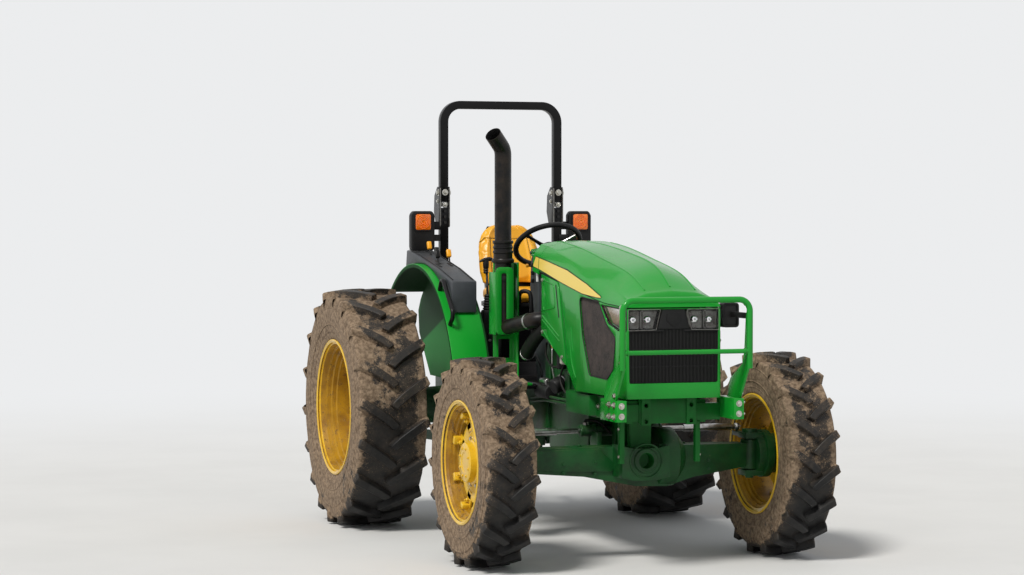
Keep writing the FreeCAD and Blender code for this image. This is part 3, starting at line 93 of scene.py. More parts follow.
def rounded(corners, radius, steps=5):
    """A closed outline with each corner turned into an arc."""
    spots = [Vector(corner) for corner in corners]
    points = []
    for i, here in enumerate(spots):
        start, end = eased(spots[i - 1], here, spots[(i + 1) % len(spots)], radius, 0.45)
        points += arc(start, here, end, steps)
    return points


def route(corners, bend, steps=8):
    """An open path of straight runs whose corners are rounded."""
    spots = [Vector(corner) for corner in corners]
    points = spots[:1]
    for before, here, after in zip(spots, spots[1:], spots[2:]):
        start, end = eased(before, here, after, bend, 0.48)
        points += arc(start, here, end, steps)
    return points + spots[-1:]


def flowing(points, per=6):
    """A smooth line through a few points."""
    points = [Vector(p) for p in points]
    ends = [points[0] * 2 - points[1]] + points + [points[-1] * 2 - points[-2]]
    line = []
    for a, b, c, d in zip(ends, ends[1:], ends[2:], ends[3:]):
        for step in range(per):
            t = step / per
            line.append(0.5 * (2 * b + (c - a) * t + (2 * a - 5 * b + 4 * c - d) * t * t
                               + (3 * b - a - 3 * c + d) * t * t * t))
    line.append(points[-1])
    return line


def ring(across, up, wide, tall, count):
    """Points around a circle or an oval with its middle at (across, up)."""
    return [(across + wide * math.cos(a), up + tall * math.sin(a))
            for a in (math.tau * i / count for i in range(count))]


def corners(low_x, low_z, high_x, high_z):
    """The four corners of an upright rectangle."""
    return [(low_x, low_z), (high_x, low_z), (high_x, high_z), (low_x, high_z)]


def spread(start, end, count):
    """Even places from start to end, both included."""
    return [start + (end - start) * i / count for i in range(count + 1)]


def on_side(side, points):
    """Places that are given for the left side, on either side."""
    return [(side * point[0], *point[1:]) for point in points]


def sharp_edges(shape, degrees):
    limit = math.radians(degrees)
    return [e for e in shape.edges if len(e.link_faces) == 2 and e.calc_face_angle(0.0) > limit]


def soften(shape, edges, width, segments=2):
    if edges and width > 0:
        bmesh.ops.bevel(shape, geom=edges, offset=width, offset_type="OFFSET", segments=segments, profile=0.5,
                        affect="EDGES", clamp_overlap=True, material=-1)


def moved(part, matrix):
    bmesh.ops.transform(part, matrix=matrix, verts=part.verts)


def faced_out(part):
    bmesh.ops.recalc_face_normals(part, faces=part.faces)


def skinned(part, rows, around=False, ends=True):
    """Faces between rows of vertices, closed around and at both ends where asked."""
    count = len(rows[0])
    for first, second in zip(rows, rows[1:]):
        for i in range(count if around else count - 1):
            j = (i + 1) % count
            part.faces.new((first[i], first[j], second[j], second[i]))
    if ends:
        part.faces.new(rows[0])
        part.faces.new(rows[-1])
    faced_out(part)


def deepened(part, way):
    """Gives a sheet its thickness by a copy of its faces at a way from them."""
    grown = bmesh.ops.extrude_face_region(part, geom=part.faces[:])
    new = [v for v in grown["geom"] if isinstance(v, bmesh.types.BMVert)]
    bmesh.ops.translate(part, vec=way, verts=new)
    faced_out(part)


def cut(part, place, way, clear=False):
    """Splits a part along a plane; clear takes away what lies beyond it."""
    bmesh.ops.bisect_plane(part, geom=part.verts[:] + part.edges[:] + part.faces[:], plane_co=place,
                           plane_no=way, clear_outer=clear)


def mesh_of(name, shape):
    """A bmesh as a mesh; the bmesh is freed."""
    mesh = bpy.data.meshes.new(name)
    shape.to_mesh(mesh)
    shape.free()
    return mesh


def join(shape, part, paint=None):
    """Adds one bmesh to another and frees it, with one material where a number is given."""
    if paint is not None:
        for face in part.faces:
            face.material_index = paint
    mesh = mesh_of("joining", part)
    shape.from_mesh(mesh)
    bpy.data.meshes.remove(mesh)


def block(shape, low, high, bevel=0.003, segments=2, turn=None, paint=0):
    """A box between two corners, its edges softened, turned about its own middle."""
    low, high = Vector(low), Vector(high)
    size = high - low
    part = bmesh.new()
    bmesh.ops.create_cube(part, size=1.0)
    bmesh.ops.scale(part, vec=size, verts=part.verts)
    soften(part, part.edges[:], min(bevel, min(size) * 0.45), segments)
    if turn is not None:
        moved(part, turn)
    bmesh.ops.translate(part, vec=(low + high) / 2, verts=part.verts)
    join(shape, part, paint)


def bar(shape, start, end, radius, end_radius=None, sides=24, bevel=0.0, paint=0):
    """A round bar or cone between two places."""
    start, end = Vector(start), Vector(end)
    way = end - start
    part = bmesh.new()
    bmesh.ops.create_cone(part, cap_ends=True, segments=sides, radius1=radius,
                          radius2=radius if end_radius is None else end_radius, depth=way.length)
    if bevel:
        rims = [e for e in part.edges if any(len(f.verts) > 4 for f in e.link_faces)]
        soften(part, rims, bevel)
    turn = way.to_track_quat("Z", "Y").to_matrix().to_4x4()
    moved(part, Matrix.Translation((start + end) / 2) @ turn)
    join(shape, part, paint)


def ball(shape, centre, radius, paint=0):
    part = bmesh.new()
    bmesh.ops.create_uvsphere(part, u_segments=16, v_segments=8, radius=radius)
    bmesh.ops.translate(part, vec=centre, verts=part.verts)
    join(shape, part, paint)


def pipe(shape, points, radius, resolution=4, paint=0, caps=True):
    """A round pipe along a path."""
    curve = bpy.data.curves.new("pipe", "CURVE")
    curve.dimensions = "3D"
    curve.bevel_depth = radius
    curve.bevel_resolution = resolution
    curve.use_fill_caps = caps
    spline = curve.splines.new("POLY")
    spline.points.add(len(points) - 1)
    for point, place in zip(spline.points, points):
        point.co = (*place, 1.0)
    holder = bpy.data.objects.new("pipe", curve)
    mesh = bpy.data.meshes.new_from_object(holder)
    part = bmesh.new()
    part.from_mesh(mesh)
    bmesh.ops.remove_doubles(part, verts=part.verts, dist=1e-6)
    join(shape, part, paint)
    bpy.data.objects.remove(holder)
    bpy.data.curves.remove(curve)
    bpy.data.meshes.remove(mesh)


AXIS_TURNS = {"X": Matrix.Identity(4), "Y": Matrix.Rotation(math.pi / 2, 4, "Z"),
              "Z": Matrix.Rotation(-math.pi / 2, 4, "Y")}


def spun(shape, profile, centre, axis="X", steps=64, paint=0, closed=False):
    """A profile of (along, radius) places turned about an axis through centre."""
    part = bmesh.new()
    verts = [part.verts.new((along, 0.0, radius)) for along, radius in profile]
    edges = [part.edges.new((a, b)) for a, b in zip(verts, verts[1:])]
    if closed:
        edges.append(part.edges.new((verts[-1], verts[0])))
    bmesh.ops.spin(part, geom=verts + edges, cent=(0, 0, 0), axis=(1, 0, 0), steps=steps, angle=math.tau,
                   use_merge=True)
    bmesh.ops.remove_doubles(part, verts=part.verts, dist=1e-6)
    faced_out(part)
    moved(part, Matrix.Translation(centre) @ AXIS_TURNS[axis])
    join(shape, part, paint)


def merged(part, angle=0.002):
    """Joins faces that lie in one plane."""
    bmesh.ops.dissolve_limit(part, angle_limit=angle, verts=part.verts, edges=part.edges)


def flat(outline, holes=()):
    """A filled outline with holes, in its own XY plane."""
    part = bmesh.new()
    edges = []
    for loop in (outline, *holes):
        verts = [part.verts.new((p[0], p[1], 0.0)) for p in loop]
        edges += [part.edges.new((a, b)) for a, b in zip(verts, verts[1:] + verts[:1])]
    bmesh.ops.triangle_fill(part, use_beauty=True, use_dissolve=False, edges=edges)
    faced_out(part)
    if part.faces and sum(f.normal.z * f.calc_area() for f in part.faces) < 0:
        bmesh.ops.reverse_faces(part, faces=part.faces)
    return part


def plate(shape, outline, thickness, matrix, holes=(), bevel=0.0015, paint=0):
    """A flat plate with holes, as thick as given along its plane's normal, placed by a matrix."""
    part = flat(outline, holes)
    if not holes:
        merged(part, 0.01)
    deepened(part, (0, 0, thickness))
    soften(part, sharp_edges(part, 60), bevel)
    moved(part, matrix)
    if matrix.determinant() < 0:
        bmesh.ops.reverse_faces(part, faces=part.faces)
    join(shape, part, paint)


PLANES = {"X": ((0, 1, 0), (0, 0, 1), (1, 0, 0)), "Y": ((1, 0, 0), (0, 0, 1), (0, 1, 0)),
          "Z": ((1, 0, 0), (0, 1, 0), (0, 0, 1))}


def facing(axis, level):
    """A matrix that lays a plate's plane across an axis: X holds (y, z), Y holds (x, z), Z holds (x, y)."""
    across, up, out = (Vector(v) for v in PLANES[axis])
    turn = Matrix((across, up, out)).transposed().to_4x4()
    return Matrix.Translation(out * level) @ turn

def bolt(shape, place, way, radius=0.009, paint=0, washer=True):
    """A hexagon bolt head on a washer, its head pointing along a way."""
    place, way = Vector(place), Vector(way).normalized()
    if washer:
        bar(shape, place, place + way * 0.0018, radius * 1.5, sides=16, paint=paint)
    bar(shape, place, place + way * (radius * 0.95), radius, sides=6, bevel=radius * 0.12, paint=paint)


def rough_up(shape, amount, scale, seed=0.0, verts=None):
    """Pushes vertices in and out a little along their normals."""
    shape.normal_update()
    offset = Vector((seed, seed * 1.7, seed * 0.6))
    moves = [(v, v.normal * noise.noise((v.co + offset) * scale) * amount) for v in (verts or shape.verts)]
    for vert, move in moves:
        vert.co += move


def shown(name, data):
    """A new object in the scene that holds the data."""
    piece = bpy.data.objects.new(name, data)
    scene.collection.objects.link(piece)
    return piece


def finished(name, shape, materials, body, replaces=(), angle=38.0):
    """A bmesh as a shown piece that rides on its body."""
    mesh = mesh_of(name, shape)
    piece = shown(name, mesh)
    for material in materials if isinstance(materials, (list, tuple)) else [materials]:
        mesh.materials.append(material)
    mesh.shade_smooth()
    mesh.set_sharp_from_angle(angle=math.radians(angle))
    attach(piece, body)
    if replaces:
        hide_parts(*replaces)
    return piece


def body_of_node(node):
    for body, members in frame["record"]["behaviour"]["bodies"].items():
        if node in members:
            return body
    raise KeyError(node)


def merged_copy(node):
    """A node's mesh with its loose triangles merged back into faces."""
    shape = bmesh.new()
    shape.from_mesh(frame["nodes"][node].data)
    bmesh.ops.remove_doubles(shape, verts=shape.verts, dist=2e-5)
    merged(shape, math.radians(0.8))
    return shape


def refined(node, materials, bevel=0.003, extra=None, angle=30.0):
    """A copy of a node with softened edges, and what an extra function adds to it."""
    shape = merged_copy(node)
    soften(shape, sharp_edges(shape, angle), bevel)
    for face in shape.faces:
        face.material_index = 0
    if extra:
        extra(shape)
    return finished(node + "_skin", shape, materials, body_of_node(node), (node,))


# Shader wiring
def feed(tree, socket, value):
    """Gives an input a number or colour, or links it to another node's output."""
    if isinstance(value, bpy.types.NodeSocket):
        tree.links.new(value, socket)
    else:
        socket.default_value = value


def put(tree, kind, settings=None, values=None):
    """A shader node, its settings, and its inputs given as numbers, colours or sockets."""
    node = tree.nodes.new("ShaderNode" + kind)
    for key, value in (settings or {}).items():
        setattr(node, key, value)
    for key, value in (values or {}).items():
        feed(tree, node.inputs[key], value)
    return node


def maths(tree, operation, first, second=0.0, clamp=False):
    node = put(tree, "Math", {"operation": operation, "use_clamp": clamp}, {0: first, 1: second})
    return node.outputs[0]


def ramp(tree, factor, low, high):
    """A smooth step from 0 at low to 1 at high."""
    node = put(tree, "MapRange", {"interpolation_type": "SMOOTHSTEP"}, {
        "Value": factor, "From Min": low, "From Max": high, "To Min": 0.0, "To Max": 1.0})
    return node.outputs["Result"]


def mixed(tree, factor, first, second):
    node = put(tree, "Mix", {"data_type": "RGBA"}, {"Factor": factor, 6: first, 7: second})
    return node.outputs[2]


def speckle(tree, place, scale, detail=4.0, roughness=0.6):
    node = put(tree, "TexNoise", None, {"Vector": place, "Scale": scale, "Detail": detail,
                                        "Roughness": roughness})
    return node.outputs["Fac"]


def new_group(name, inputs, outputs):
    """A shader node group with named sockets: each is (name, kind, default)."""
    tree = bpy.data.node_groups.new(name, "ShaderNodeTree")
    for label, kind, default in inputs:
        socket = tree.interface.new_socket(label, in_out="INPUT", socket_type="NodeSocket" + kind)
        if default is not None:
            socket.default_value = default
    for label, kind in outputs:
        tree.interface.new_socket(label, in_out="OUTPUT", socket_type="NodeSocket" + kind)
    source = tree.nodes.new("NodeGroupInput")
    result = tree.nodes.new("NodeGroupOutput")
    return tree, source.outputs, result.inputs


def make_mud_group():
    """Dried mud: splashes with a ragged edge and fine spots, thick where Amount is near 1."""
    tree, given, result = new_group(
        "dried_mud",
        (("Place", "Vector", None), ("Amount", "Float", 0.5), ("Splash size", "Float", 14.0),
         ("Light mud", "Color", (0.30, 0.21, 0.13, 1)), ("Dark mud", "Color", (0.10, 0.065, 0.038, 1))),
        (("Mask", "Float"), ("Colour", "Color"), ("Height", "Float")))
    place = given["Place"]
    large = speckle(tree, place, given["Splash size"], 5.0, 0.65)
    fine = speckle(tree, place, 130.0, 3.0, 0.7)
    spots = put(tree, "TexVoronoi", {"feature": "F1"}, {"Vector": place, "Scale": 95.0})
    pattern = maths(tree, "ADD", maths(tree, "MULTIPLY", large, 0.72), maths(tree, "MULTIPLY", fine, 0.28))
    limit = maths(tree, "SUBTRACT", 0.80, maths(tree, "MULTIPLY", given["Amount"], 0.62))
    patch = ramp(tree, maths(tree, "SUBTRACT", pattern, limit), -0.035, 0.05)
    drops = ramp(tree, spots.outputs["Distance"], 0.26, 0.14)
    drops = maths(tree, "MULTIPLY", drops, ramp(tree, maths(tree, "ADD", large, given["Amount"]), 0.62, 0.85))
    mask = maths(tree, "MAXIMUM", patch, maths(tree, "MULTIPLY", drops, 0.8), clamp=True)
    tone = speckle(tree, place, 46.0, 5.0, 0.7)
    tree.links.new(mask, result["Mask"])
    tree.links.new(mixed(tree, ramp(tree, tone, 0.32, 0.68), given["Dark mud"], given["Light mud"]),
                   result["Colour"])
    height = maths(tree, "ADD", maths(tree, "MULTIPLY", mask, 0.6), maths(tree, "MULTIPLY", fine, 0.5))
    tree.links.new(height, result["Height"])
    return tree


def make_dust_group():
    """A thin film of dust in soft patches that settles most on what faces up."""
    tree, given, result = new_group(
        "settled_dust", (("Place", "Vector", None), ("Amount", "Float", 0.3), ("Scale", "Float", 6.0)),
        (("Mask", "Float"),))
    normal = put(tree, "NewGeometry").outputs["Normal"]
    up = put(tree, "SeparateXYZ", None, {0: normal}).outputs["Z"]
    facing_up = ramp(tree, up, -0.1, 1.0)
    cloud = ramp(tree, speckle(tree, given["Place"], given["Scale"], 6.0, 0.7), 0.35, 0.75)
    mask = maths(tree, "MULTIPLY", maths(tree, "ADD", facing_up, 0.25), cloud)
    tree.links.new(maths(tree, "MULTIPLY", mask, given["Amount"], clamp=True), result["Mask"])
    return tree


def make_grain_group():
    """Fine unevenness of a sprayed, cast or moulded surface, as a normal."""
    tree, given, result = new_group(
        "surface_grain", (("Place", "Vector", None), ("Scale", "Float", 300.0), ("Depth", "Float", 0.1),
                          ("Waviness", "Float", 0.0)), (("Normal", "Vector"),))
    fine = speckle(tree, given["Place"], given["Scale"], 3.0, 0.6)
    broad = maths(tree, "MULTIPLY", speckle(tree, given["Place"], 5.0, 2.0, 0.5), given["Waviness"])
    bump = put(tree, "Bump", None, {"Strength": given["Depth"], "Distance": 0.0015,
                                    "Height": maths(tree, "ADD", fine, broad)})
    tree.links.new(bump.outputs["Normal"], result["Normal"])
    return tree


MUD = make_mud_group()
DUST = make_dust_group()
GRAIN = make_grain_group()


class Finish:
    """A material whose colour and roughness are built up in layers."""

    def __init__(self, name, colour, roughness, metallic=0.0, **plain):
        self.material = bpy.data.materials.new(name)
        self.material.use_nodes = True
        self.tree = self.material.node_tree
        self.shader = self.tree.nodes["Principled BSDF"]
        self.place = put(self.tree, "TexCoord").outputs["Object"]
        self.colour = (*colour, 1.0)
        self.rough = roughness
        self.shader.inputs["Metallic"].default_value = metallic
        for key, value in plain.items():
            self.shader.inputs[key.replace("_", " ")].default_value = value

    def group(self, tree, **values):
        named = {key.replace("_", " "): value for key, value in values.items()}
        return put(self.tree, "Group", {"node_tree": tree}, {"Place": self.place, **named})

    def vary(self, other, scale, low=0.35, high=0.7, amount=1.0):
        """Blend towards another colour in soft patches."""
        patch = maths(self.tree, "MULTIPLY",
                      ramp(self.tree, speckle(self.tree, self.place, scale), low, high), amount)
        self.colour = mixed(self.tree, patch, self.colour, (*other, 1.0))
        return self

    def layer(self, mask, colour, roughness):
        """Cover what the mask names with another colour and roughness."""
        if not isinstance(colour, bpy.types.NodeSocket):
            colour = (*colour, 1.0)
        self.colour = mixed(self.tree, mask, self.colour, colour)
        node = put(self.tree, "Mix", {"data_type": "FLOAT"}, {"Factor": mask, 2: self.rough, 3: roughness})
        self.rough = node.outputs[0]
        return self

    def dusty(self, amount, colour=(0.34, 0.27, 0.18), scale=6.0):
        return self.layer(self.group(DUST, Amount=amount, Scale=scale).outputs["Mask"], colour, 0.8)

    def muddy(self, amount, size=14.0, **colours):
        mud = self.group(MUD, Amount=amount, Splash_size=size, **colours)
        self.layer(mud.outputs["Mask"], mud.outputs["Colour"], 0.92)
        bump = put(self.tree, "Bump", None,
                   {"Strength": 0.5, "Distance": 0.004, "Height": mud.outputs["Height"]})
        self.tree.links.new(bump.outputs["Normal"], self.shader.inputs["Normal"])
        return self

    def grain(self, scale, depth, waviness=0.0):
        node = self.group(GRAIN, Scale=scale, Depth=depth, Waviness=waviness)
        self.tree.links.new(node.outputs["Normal"], self.shader.inputs["Normal"])
        return self

    def done(self):
        feed(self.tree, self.shader.inputs["Base Color"], self.colour)
        feed(self.tree, self.shader.inputs["Roughness"], self.rough)
        return self.material


GREEN = (0.005, 0.290, 0.022)
GREEN_DEEP = (0.005, 0.210, 0.022)
# a much darker copy of the green, as painted shade for the castings
CASTING_SHADED = (0.004, 0.072, 0.013)
YELLOW = (0.780, 0.500, 0.020)

green_paint = Finish("green_paint", GREEN, 0.24, Coat_Weight=0.22, Coat_Roughness=0.04,
                     Specular_IOR_Level=0.22).vary(
    GREEN_DEEP, 1.6, amount=0.45).dusty(0.05).grain(420.0, 0.04, 0.6).done()
# castings: the darker green as painted shade, with dust and mud over it
casting_green = Finish("casting_green", CASTING_SHADED, 0.40, Specular_IOR_Level=0.3).vary(
    (0.002, 0.020, 0.005), 7.0, amount=0.8).dusty(0.10, scale=9.0).muddy(0.04, 18.0).done()
# the front support's green, darkened as painted shade
support_green_shaded = Finish("support_green_shaded", (0.004, 0.130, 0.016), 0.42, Specular_IOR_Level=0.2).vary(
    (0.003, 0.060, 0.010), 6.0, amount=0.7).dusty(0.06).done()
rim_yellow = Finish("rim_yellow", YELLOW, 0.30, Coat_Weight=0.4, Coat_Roughness=0.12).vary(
    (0.66, 0.38, 0.012), 9.0, amount=0.8).dusty(0.20, (0.42, 0.27, 0.08)).muddy(
    0.12, 30.0, Light_mud=(0.36, 0.24, 0.10, 1), Dark_mud=(0.12, 0.07, 0.03, 1)).done()
black_paint = Finish("black_paint", (0.0025, 0.0025, 0.003), 0.30, Specular_IOR_Level=0.22).dusty(
    0.05, (0.16, 0.14, 0.12)).grain(380.0, 0.08).done()
black_plastic = Finish("black_plastic", (0.004, 0.004, 0.0045), 0.5, Specular_IOR_Level=0.3).dusty(
    0.06, (0.17, 0.15, 0.13)).grain(900.0, 0.28).done()
charcoal_plastic = Finish("charcoal_plastic", (0.040, 0.046, 0.054), 0.5).vary(
    (0.026, 0.030, 0.035), 8.0).dusty(0.12, (0.20, 0.18, 0.15)).grain(1100.0, 0.35).done()
# a darker copy of the rim's yellow as painted shade inside the rim's barrel, with mud over it
rim_shaded_muddy = Finish("rim_shaded_muddy", (0.44, 0.235, 0.008), 0.45).vary(
    (0.26, 0.125, 0.006), 9.0).muddy(0.34, 26.0, Light_mud=(0.30, 0.18, 0.06, 1),
                                     Dark_mud=(0.070, 0.036, 0.014, 1)).done()
bare_steel = Finish("bare_steel", (0.50, 0.50, 0.50), 0.28, 1.0).vary((0.32, 0.30, 0.28), 40.0).done()
zinc = Finish("zinc_bolts", (0.60, 0.59, 0.55), 0.3, 1.0).vary((0.42, 0.40, 0.34), 60.0).done()
stripe_yellow = Finish("stripe_yellow", (0.90, 0.66, 0.10), 0.3, Coat_Weight=0.3, Coat_Roughness=0.1).done()
chrome = Finish("chrome_reflector", (0.86, 0.87, 0.88), 0.05, 1.0).done()
amber_glass = Finish("amber_glass", (0.95, 0.16, 0.004), 0.12, Coat_Weight=0.6).vary(
    (1.0, 0.34, 0.02), 60.0, amount=0.5).done()
red_glass = Finish("red_glass", (0.62, 0.012, 0.010), 0.12, Coat_Weight=0.6).done()
exhaust_black = Finish("exhaust_black", (0.003, 0.003, 0.0035), 0.38,
                       Specular_IOR_Level=0.25).vary((0.020, 0.014, 0.010), 14.0).done()
hinge_grey = Finish("hinge_grey", (0.20, 0.20, 0.19), 0.45, 0.3).vary((0.09, 0.08, 0.07), 30.0).done()
white_strip = Finish("white_strip", (0.80, 0.81, 0.80), 0.3).done()
lever_orange = Finish("lever_orange", (0.92, 0.40, 0.008), 0.35).done()
red_cap = Finish("red_cap", (0.62, 0.020, 0.015), 0.4).done()
pale_plastic = Finish("pale_plastic", (0.62, 0.60, 0.52), 0.35).dusty(0.4).done()
thread_dark = Finish("thread_dark", (0.030, 0.016, 0.005), 0.7).done()
seat_vinyl = Finish("seat_vinyl", (0.86, 0.42, 0.010), 0.36, Coat_Weight=0.15, Coat_Roughness=0.3).vary(
    (0.80, 0.36, 0.008), 5.0).grain(1500.0, 0.10).done()
deep_black = Finish("deep_black", (0.004, 0.004, 0.004), 0.7).done()
bulb_glass = Finish("bulb_glass", (0.85, 0.87, 0.9), 0.12).done()
clear_lens = Finish("clear_lens", (1.0, 1.0, 1.0), 0.03, Transmission_Weight=1.0, IOR=1.2).done()
rubber_hose = Finish("rubber_hose", (0.004, 0.004, 0.004), 0.55, Specular_IOR_Level=0.25).dusty(0.12,
                                                                                                (0.15, 0.12,
                                                                                                 0.09)).grain(
    700.0, 0.2).done()


def make_fender_green():
    """Bright paint outside; the inner wall and the underside of the crown darkened as painted shade, and the wall
    paler and duller low down as painted sunlight below the crown's painted shadow.
    """
    finish = Finish("fender_green", GREEN, 0.30, Specular_IOR_Level=0.18)
    tree = finish.tree
    spot = put(tree, "SeparateXYZ", None, {0: finish.place}).outputs
    across = maths(tree, "ABSOLUTE", spot["X"])
    ahead = maths(tree, "SUBTRACT", spot["Y"], AXLE_REAR.y)
    above = maths(tree, "SUBTRACT", spot["Z"], AXLE_REAR.z)
    out = maths(tree, "SQRT", maths(tree, "ADD", maths(tree, "MULTIPLY", ahead, ahead),
                                    maths(tree, "MULTIPLY", above, above)))
    wall = ramp(tree, across, 0.4125, 0.4115)
    under = maths(tree, "MAXIMUM", wall, ramp(tree, out, 0.8535, 0.8525))
    # painted shade: a dark green over the inner wall and under the crown
    finish.layer(under, (0.004, 0.055, 0.010), 0.7)
    # the edge of the crown's painted shadow on the wall; below it the wall is paler as painted sunlight
    edge = maths(tree, "ADD", spot["Z"], maths(tree, "MULTIPLY", maths(tree, "ABSOLUTE", ahead), 0.35))
    low = maths(tree, "MULTIPLY", wall, ramp(tree, edge, 1.27, 1.25))
    finish.layer(low, (0.040, 0.260, 0.065), 0.75)
    return finish.muddy(0.03, 22.0).done()


fender_green = make_fender_green()


def make_screen_mesh():
    """A dark perforated sheet under dried dust and mud specks."""
    finish = Finish("screen_mesh", (0.040, 0.033, 0.030), 0.8)
    tree = finish.tree
    holes = put(tree, "TexVoronoi", {"feature": "F1"},
                {"Vector": finish.place, "Scale": 160.0}).outputs["Distance"]
    # the perforations are dark spots of painted shade, for the dark seen through the holes
    finish.layer(ramp(tree, holes, 0.62, 0.30), (0.007, 0.006, 0.006), 0.9)
    finish.layer(ramp(tree, speckle(tree, finish.place, 9.0, 8.0, 0.8), 0.40, 0.72), (0.075, 0.056, 0.050),
                 0.9)
    return finish.done()


screen_mesh = make_screen_mesh()


def make_tyre_rubber():
    """Rubber whose mud follows the tyre's own attribute: thick on the walls, thin on the lugs."""
    finish = Finish("tyre_rubber", (0.0040, 0.0040, 0.0042), 0.5, Specular_IOR_Level=0.35)
    tree = finish.tree
    amount = put(tree, "Attribute", {"attribute_name": "mud"}).outputs["Fac"]
    finish.vary((0.013, 0.012, 0.011), 22.0)
    film = maths(tree, "MULTIPLY", ramp(tree, speckle(tree, finish.place, 30.0, 6.0, 0.75), 0.30, 0.75),
                 maths(tree, "ADD", maths(tree, "MULTIPLY", amount, 0.75), 0.05))
    finish.layer(film, (0.15, 0.108, 0.072), 0.9)
    finish.muddy(amount, 15.0, Light_mud=(0.31, 0.225, 0.150, 1), Dark_mud=(0.115, 0.078, 0.050, 1))
    return finish.done()


tyre_rubber = make_tyre_rubber()


# Camera, light and floor
LENS = 91.9
CAMERA_PLACE = (-5.0587, -14.1674, 1.8790)
CAMERA_DOWN = 1.655
CAMERA_RIGHT = 18.425
SUN_WAY = Vector((0.62, 0.52, -0.95))
BACKDROP = (0.93, 0.94, 0.95, 1)
BACKDROP_LEVEL = 0.90


def make_stage():
    camera = bpy.data.cameras.new("camera")
    camera.lens = LENS
    camera.sensor_width = 36.0
    camera.clip_end = 200.0
    holder = shown("camera", camera)
    holder.location = CAMERA_PLACE
    holder.rotation_euler = (math.radians(90 - CAMERA_DOWN), 0, math.radians(-CAMERA_RIGHT))
    scene.camera = holder
    scene.view_settings.view_transform = "Standard"

    sun = bpy.data.lights.new("key", "SUN")
    sun.energy = 2.7
    sun.angle = math.radians(14)
    sun.color = (1.0, 0.97, 0.92)
    # the light comes from the front right of the tractor, high up
    shown("key", sun).rotation_euler = SUN_WAY.to_track_quat("-Z", "Y").to_euler()

    world = bpy.data.worlds.new("studio")
    scene.world = world
    world.use_nodes = True
    tree = world.node_tree
    tree.nodes.clear()
    path = put(tree, "LightPath").outputs
    seen = maths(tree, "MAXIMUM", path["Is Camera Ray"], maths(tree, "MAXIMUM", path["Is Glossy Ray"],
                                                              path["Is Transmission Ray"]))
    lighting = put(tree, "Background", None, {"Color": (0.93, 0.96, 1.0, 1), "Strength": 0.42})
    backdrop = put(tree, "Background", None, {"Color": BACKDROP, "Strength": BACKDROP_LEVEL})
    mix = put(tree, "MixShader", None, {0: seen, 1: lighting.outputs[0], 2: backdrop.outputs[0]})
    output = tree.nodes.new("ShaderNodeOutputWorld")
    tree.links.new(mix.outputs[0], output.inputs[0])

    shape = bmesh.new()
    bmesh.ops.create_grid(shape, x_segments=2, y_segments=2, size=60.0)
    mesh = mesh_of("floor", shape)
    floor = shown("floor", mesh)
    pale = Finish("pale_floor", (0.72, 0.72, 0.71), 0.9).vary((0.69, 0.69, 0.68), 0.8).done()
    # far from the tractor the floor takes the backdrop's colour, so no horizon shows
    tree = pale.node_tree
    away = put(tree, "VectorMath", {"operation": "LENGTH"},
               {0: put(tree, "TexCoord").outputs["Object"]}).outputs[1]
    fade = maths(tree, "MULTIPLY", ramp(tree, away, 3.5, 13.0),
                 put(tree, "LightPath").outputs["Is Camera Ray"])
    far = put(tree, "Emission", None, {"Color": BACKDROP, "Strength": BACKDROP_LEVEL})
    surface = put(tree, "MixShader", None,
                  {0: fade, 1: tree.nodes["Principled BSDF"].outputs[0], 2: far.outputs[0]})
    tree.links.new(surface.outputs[0], tree.nodes["Material Output"].inputs["Surface"])
    mesh.materials.append(pale)


make_stage()


# Wheels
class Wheel:
    """Sizes of one wheel, from the frame."""

    def __init__(self, end, label):
        side = LEFT if label == "left" else RIGHT
        tyre_low, tyre_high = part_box("tyre_%s_%s" % (end, label))
        rim_low, rim_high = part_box("rim_%s_%s" % (end, label))
        self.name = "%s_%s" % (end, label)
        self.side = side
        self.centre = (tyre_low + tyre_high) / 2
        self.centre.z = tyre_high.z / 2
        self.radius = tyre_high.z / 2
        self.half = (tyre_high.x - tyre_low.x) / 2
        self.rim_radius = (rim_high.z - rim_low.z) / 2
        self.rim_half = (rim_high.x - rim_low.x) / 2
        self.body = "%s_wheel_%s" % (end, label[0])


def carcass_profile(wheel, lug):
    """The tyre's wall and tread base, from one bead over the tread to the other."""
    half, rim = wheel.half, wheel.rim_radius
    wall = wheel.radius - rim
    base = wheel.radius - lug - 0.004
    side = [
        (wheel.rim_half * 0.90, rim - 0.018), (wheel.rim_half * 0.955, rim + 0.002),
        (wheel.rim_half * 0.985, rim + 0.012), (half * 0.955, rim + wall * 0.20),
        (half * 0.993, rim + wall * 0.40),
        (half * 0.985, rim + wall * 0.58), (half * 0.945, base - 0.034), (half * 0.90, base - 0.010),
        (half * 0.70, base - 0.004), (half * 0.36, base), (0.0, base + 0.001)]
    side = flowing([(a, b, 0) for a, b in side], 4)
    line = [(p.x, p.y) for p in side]
    return line + [(-a, r) for a, r in reversed(line[:-1])]


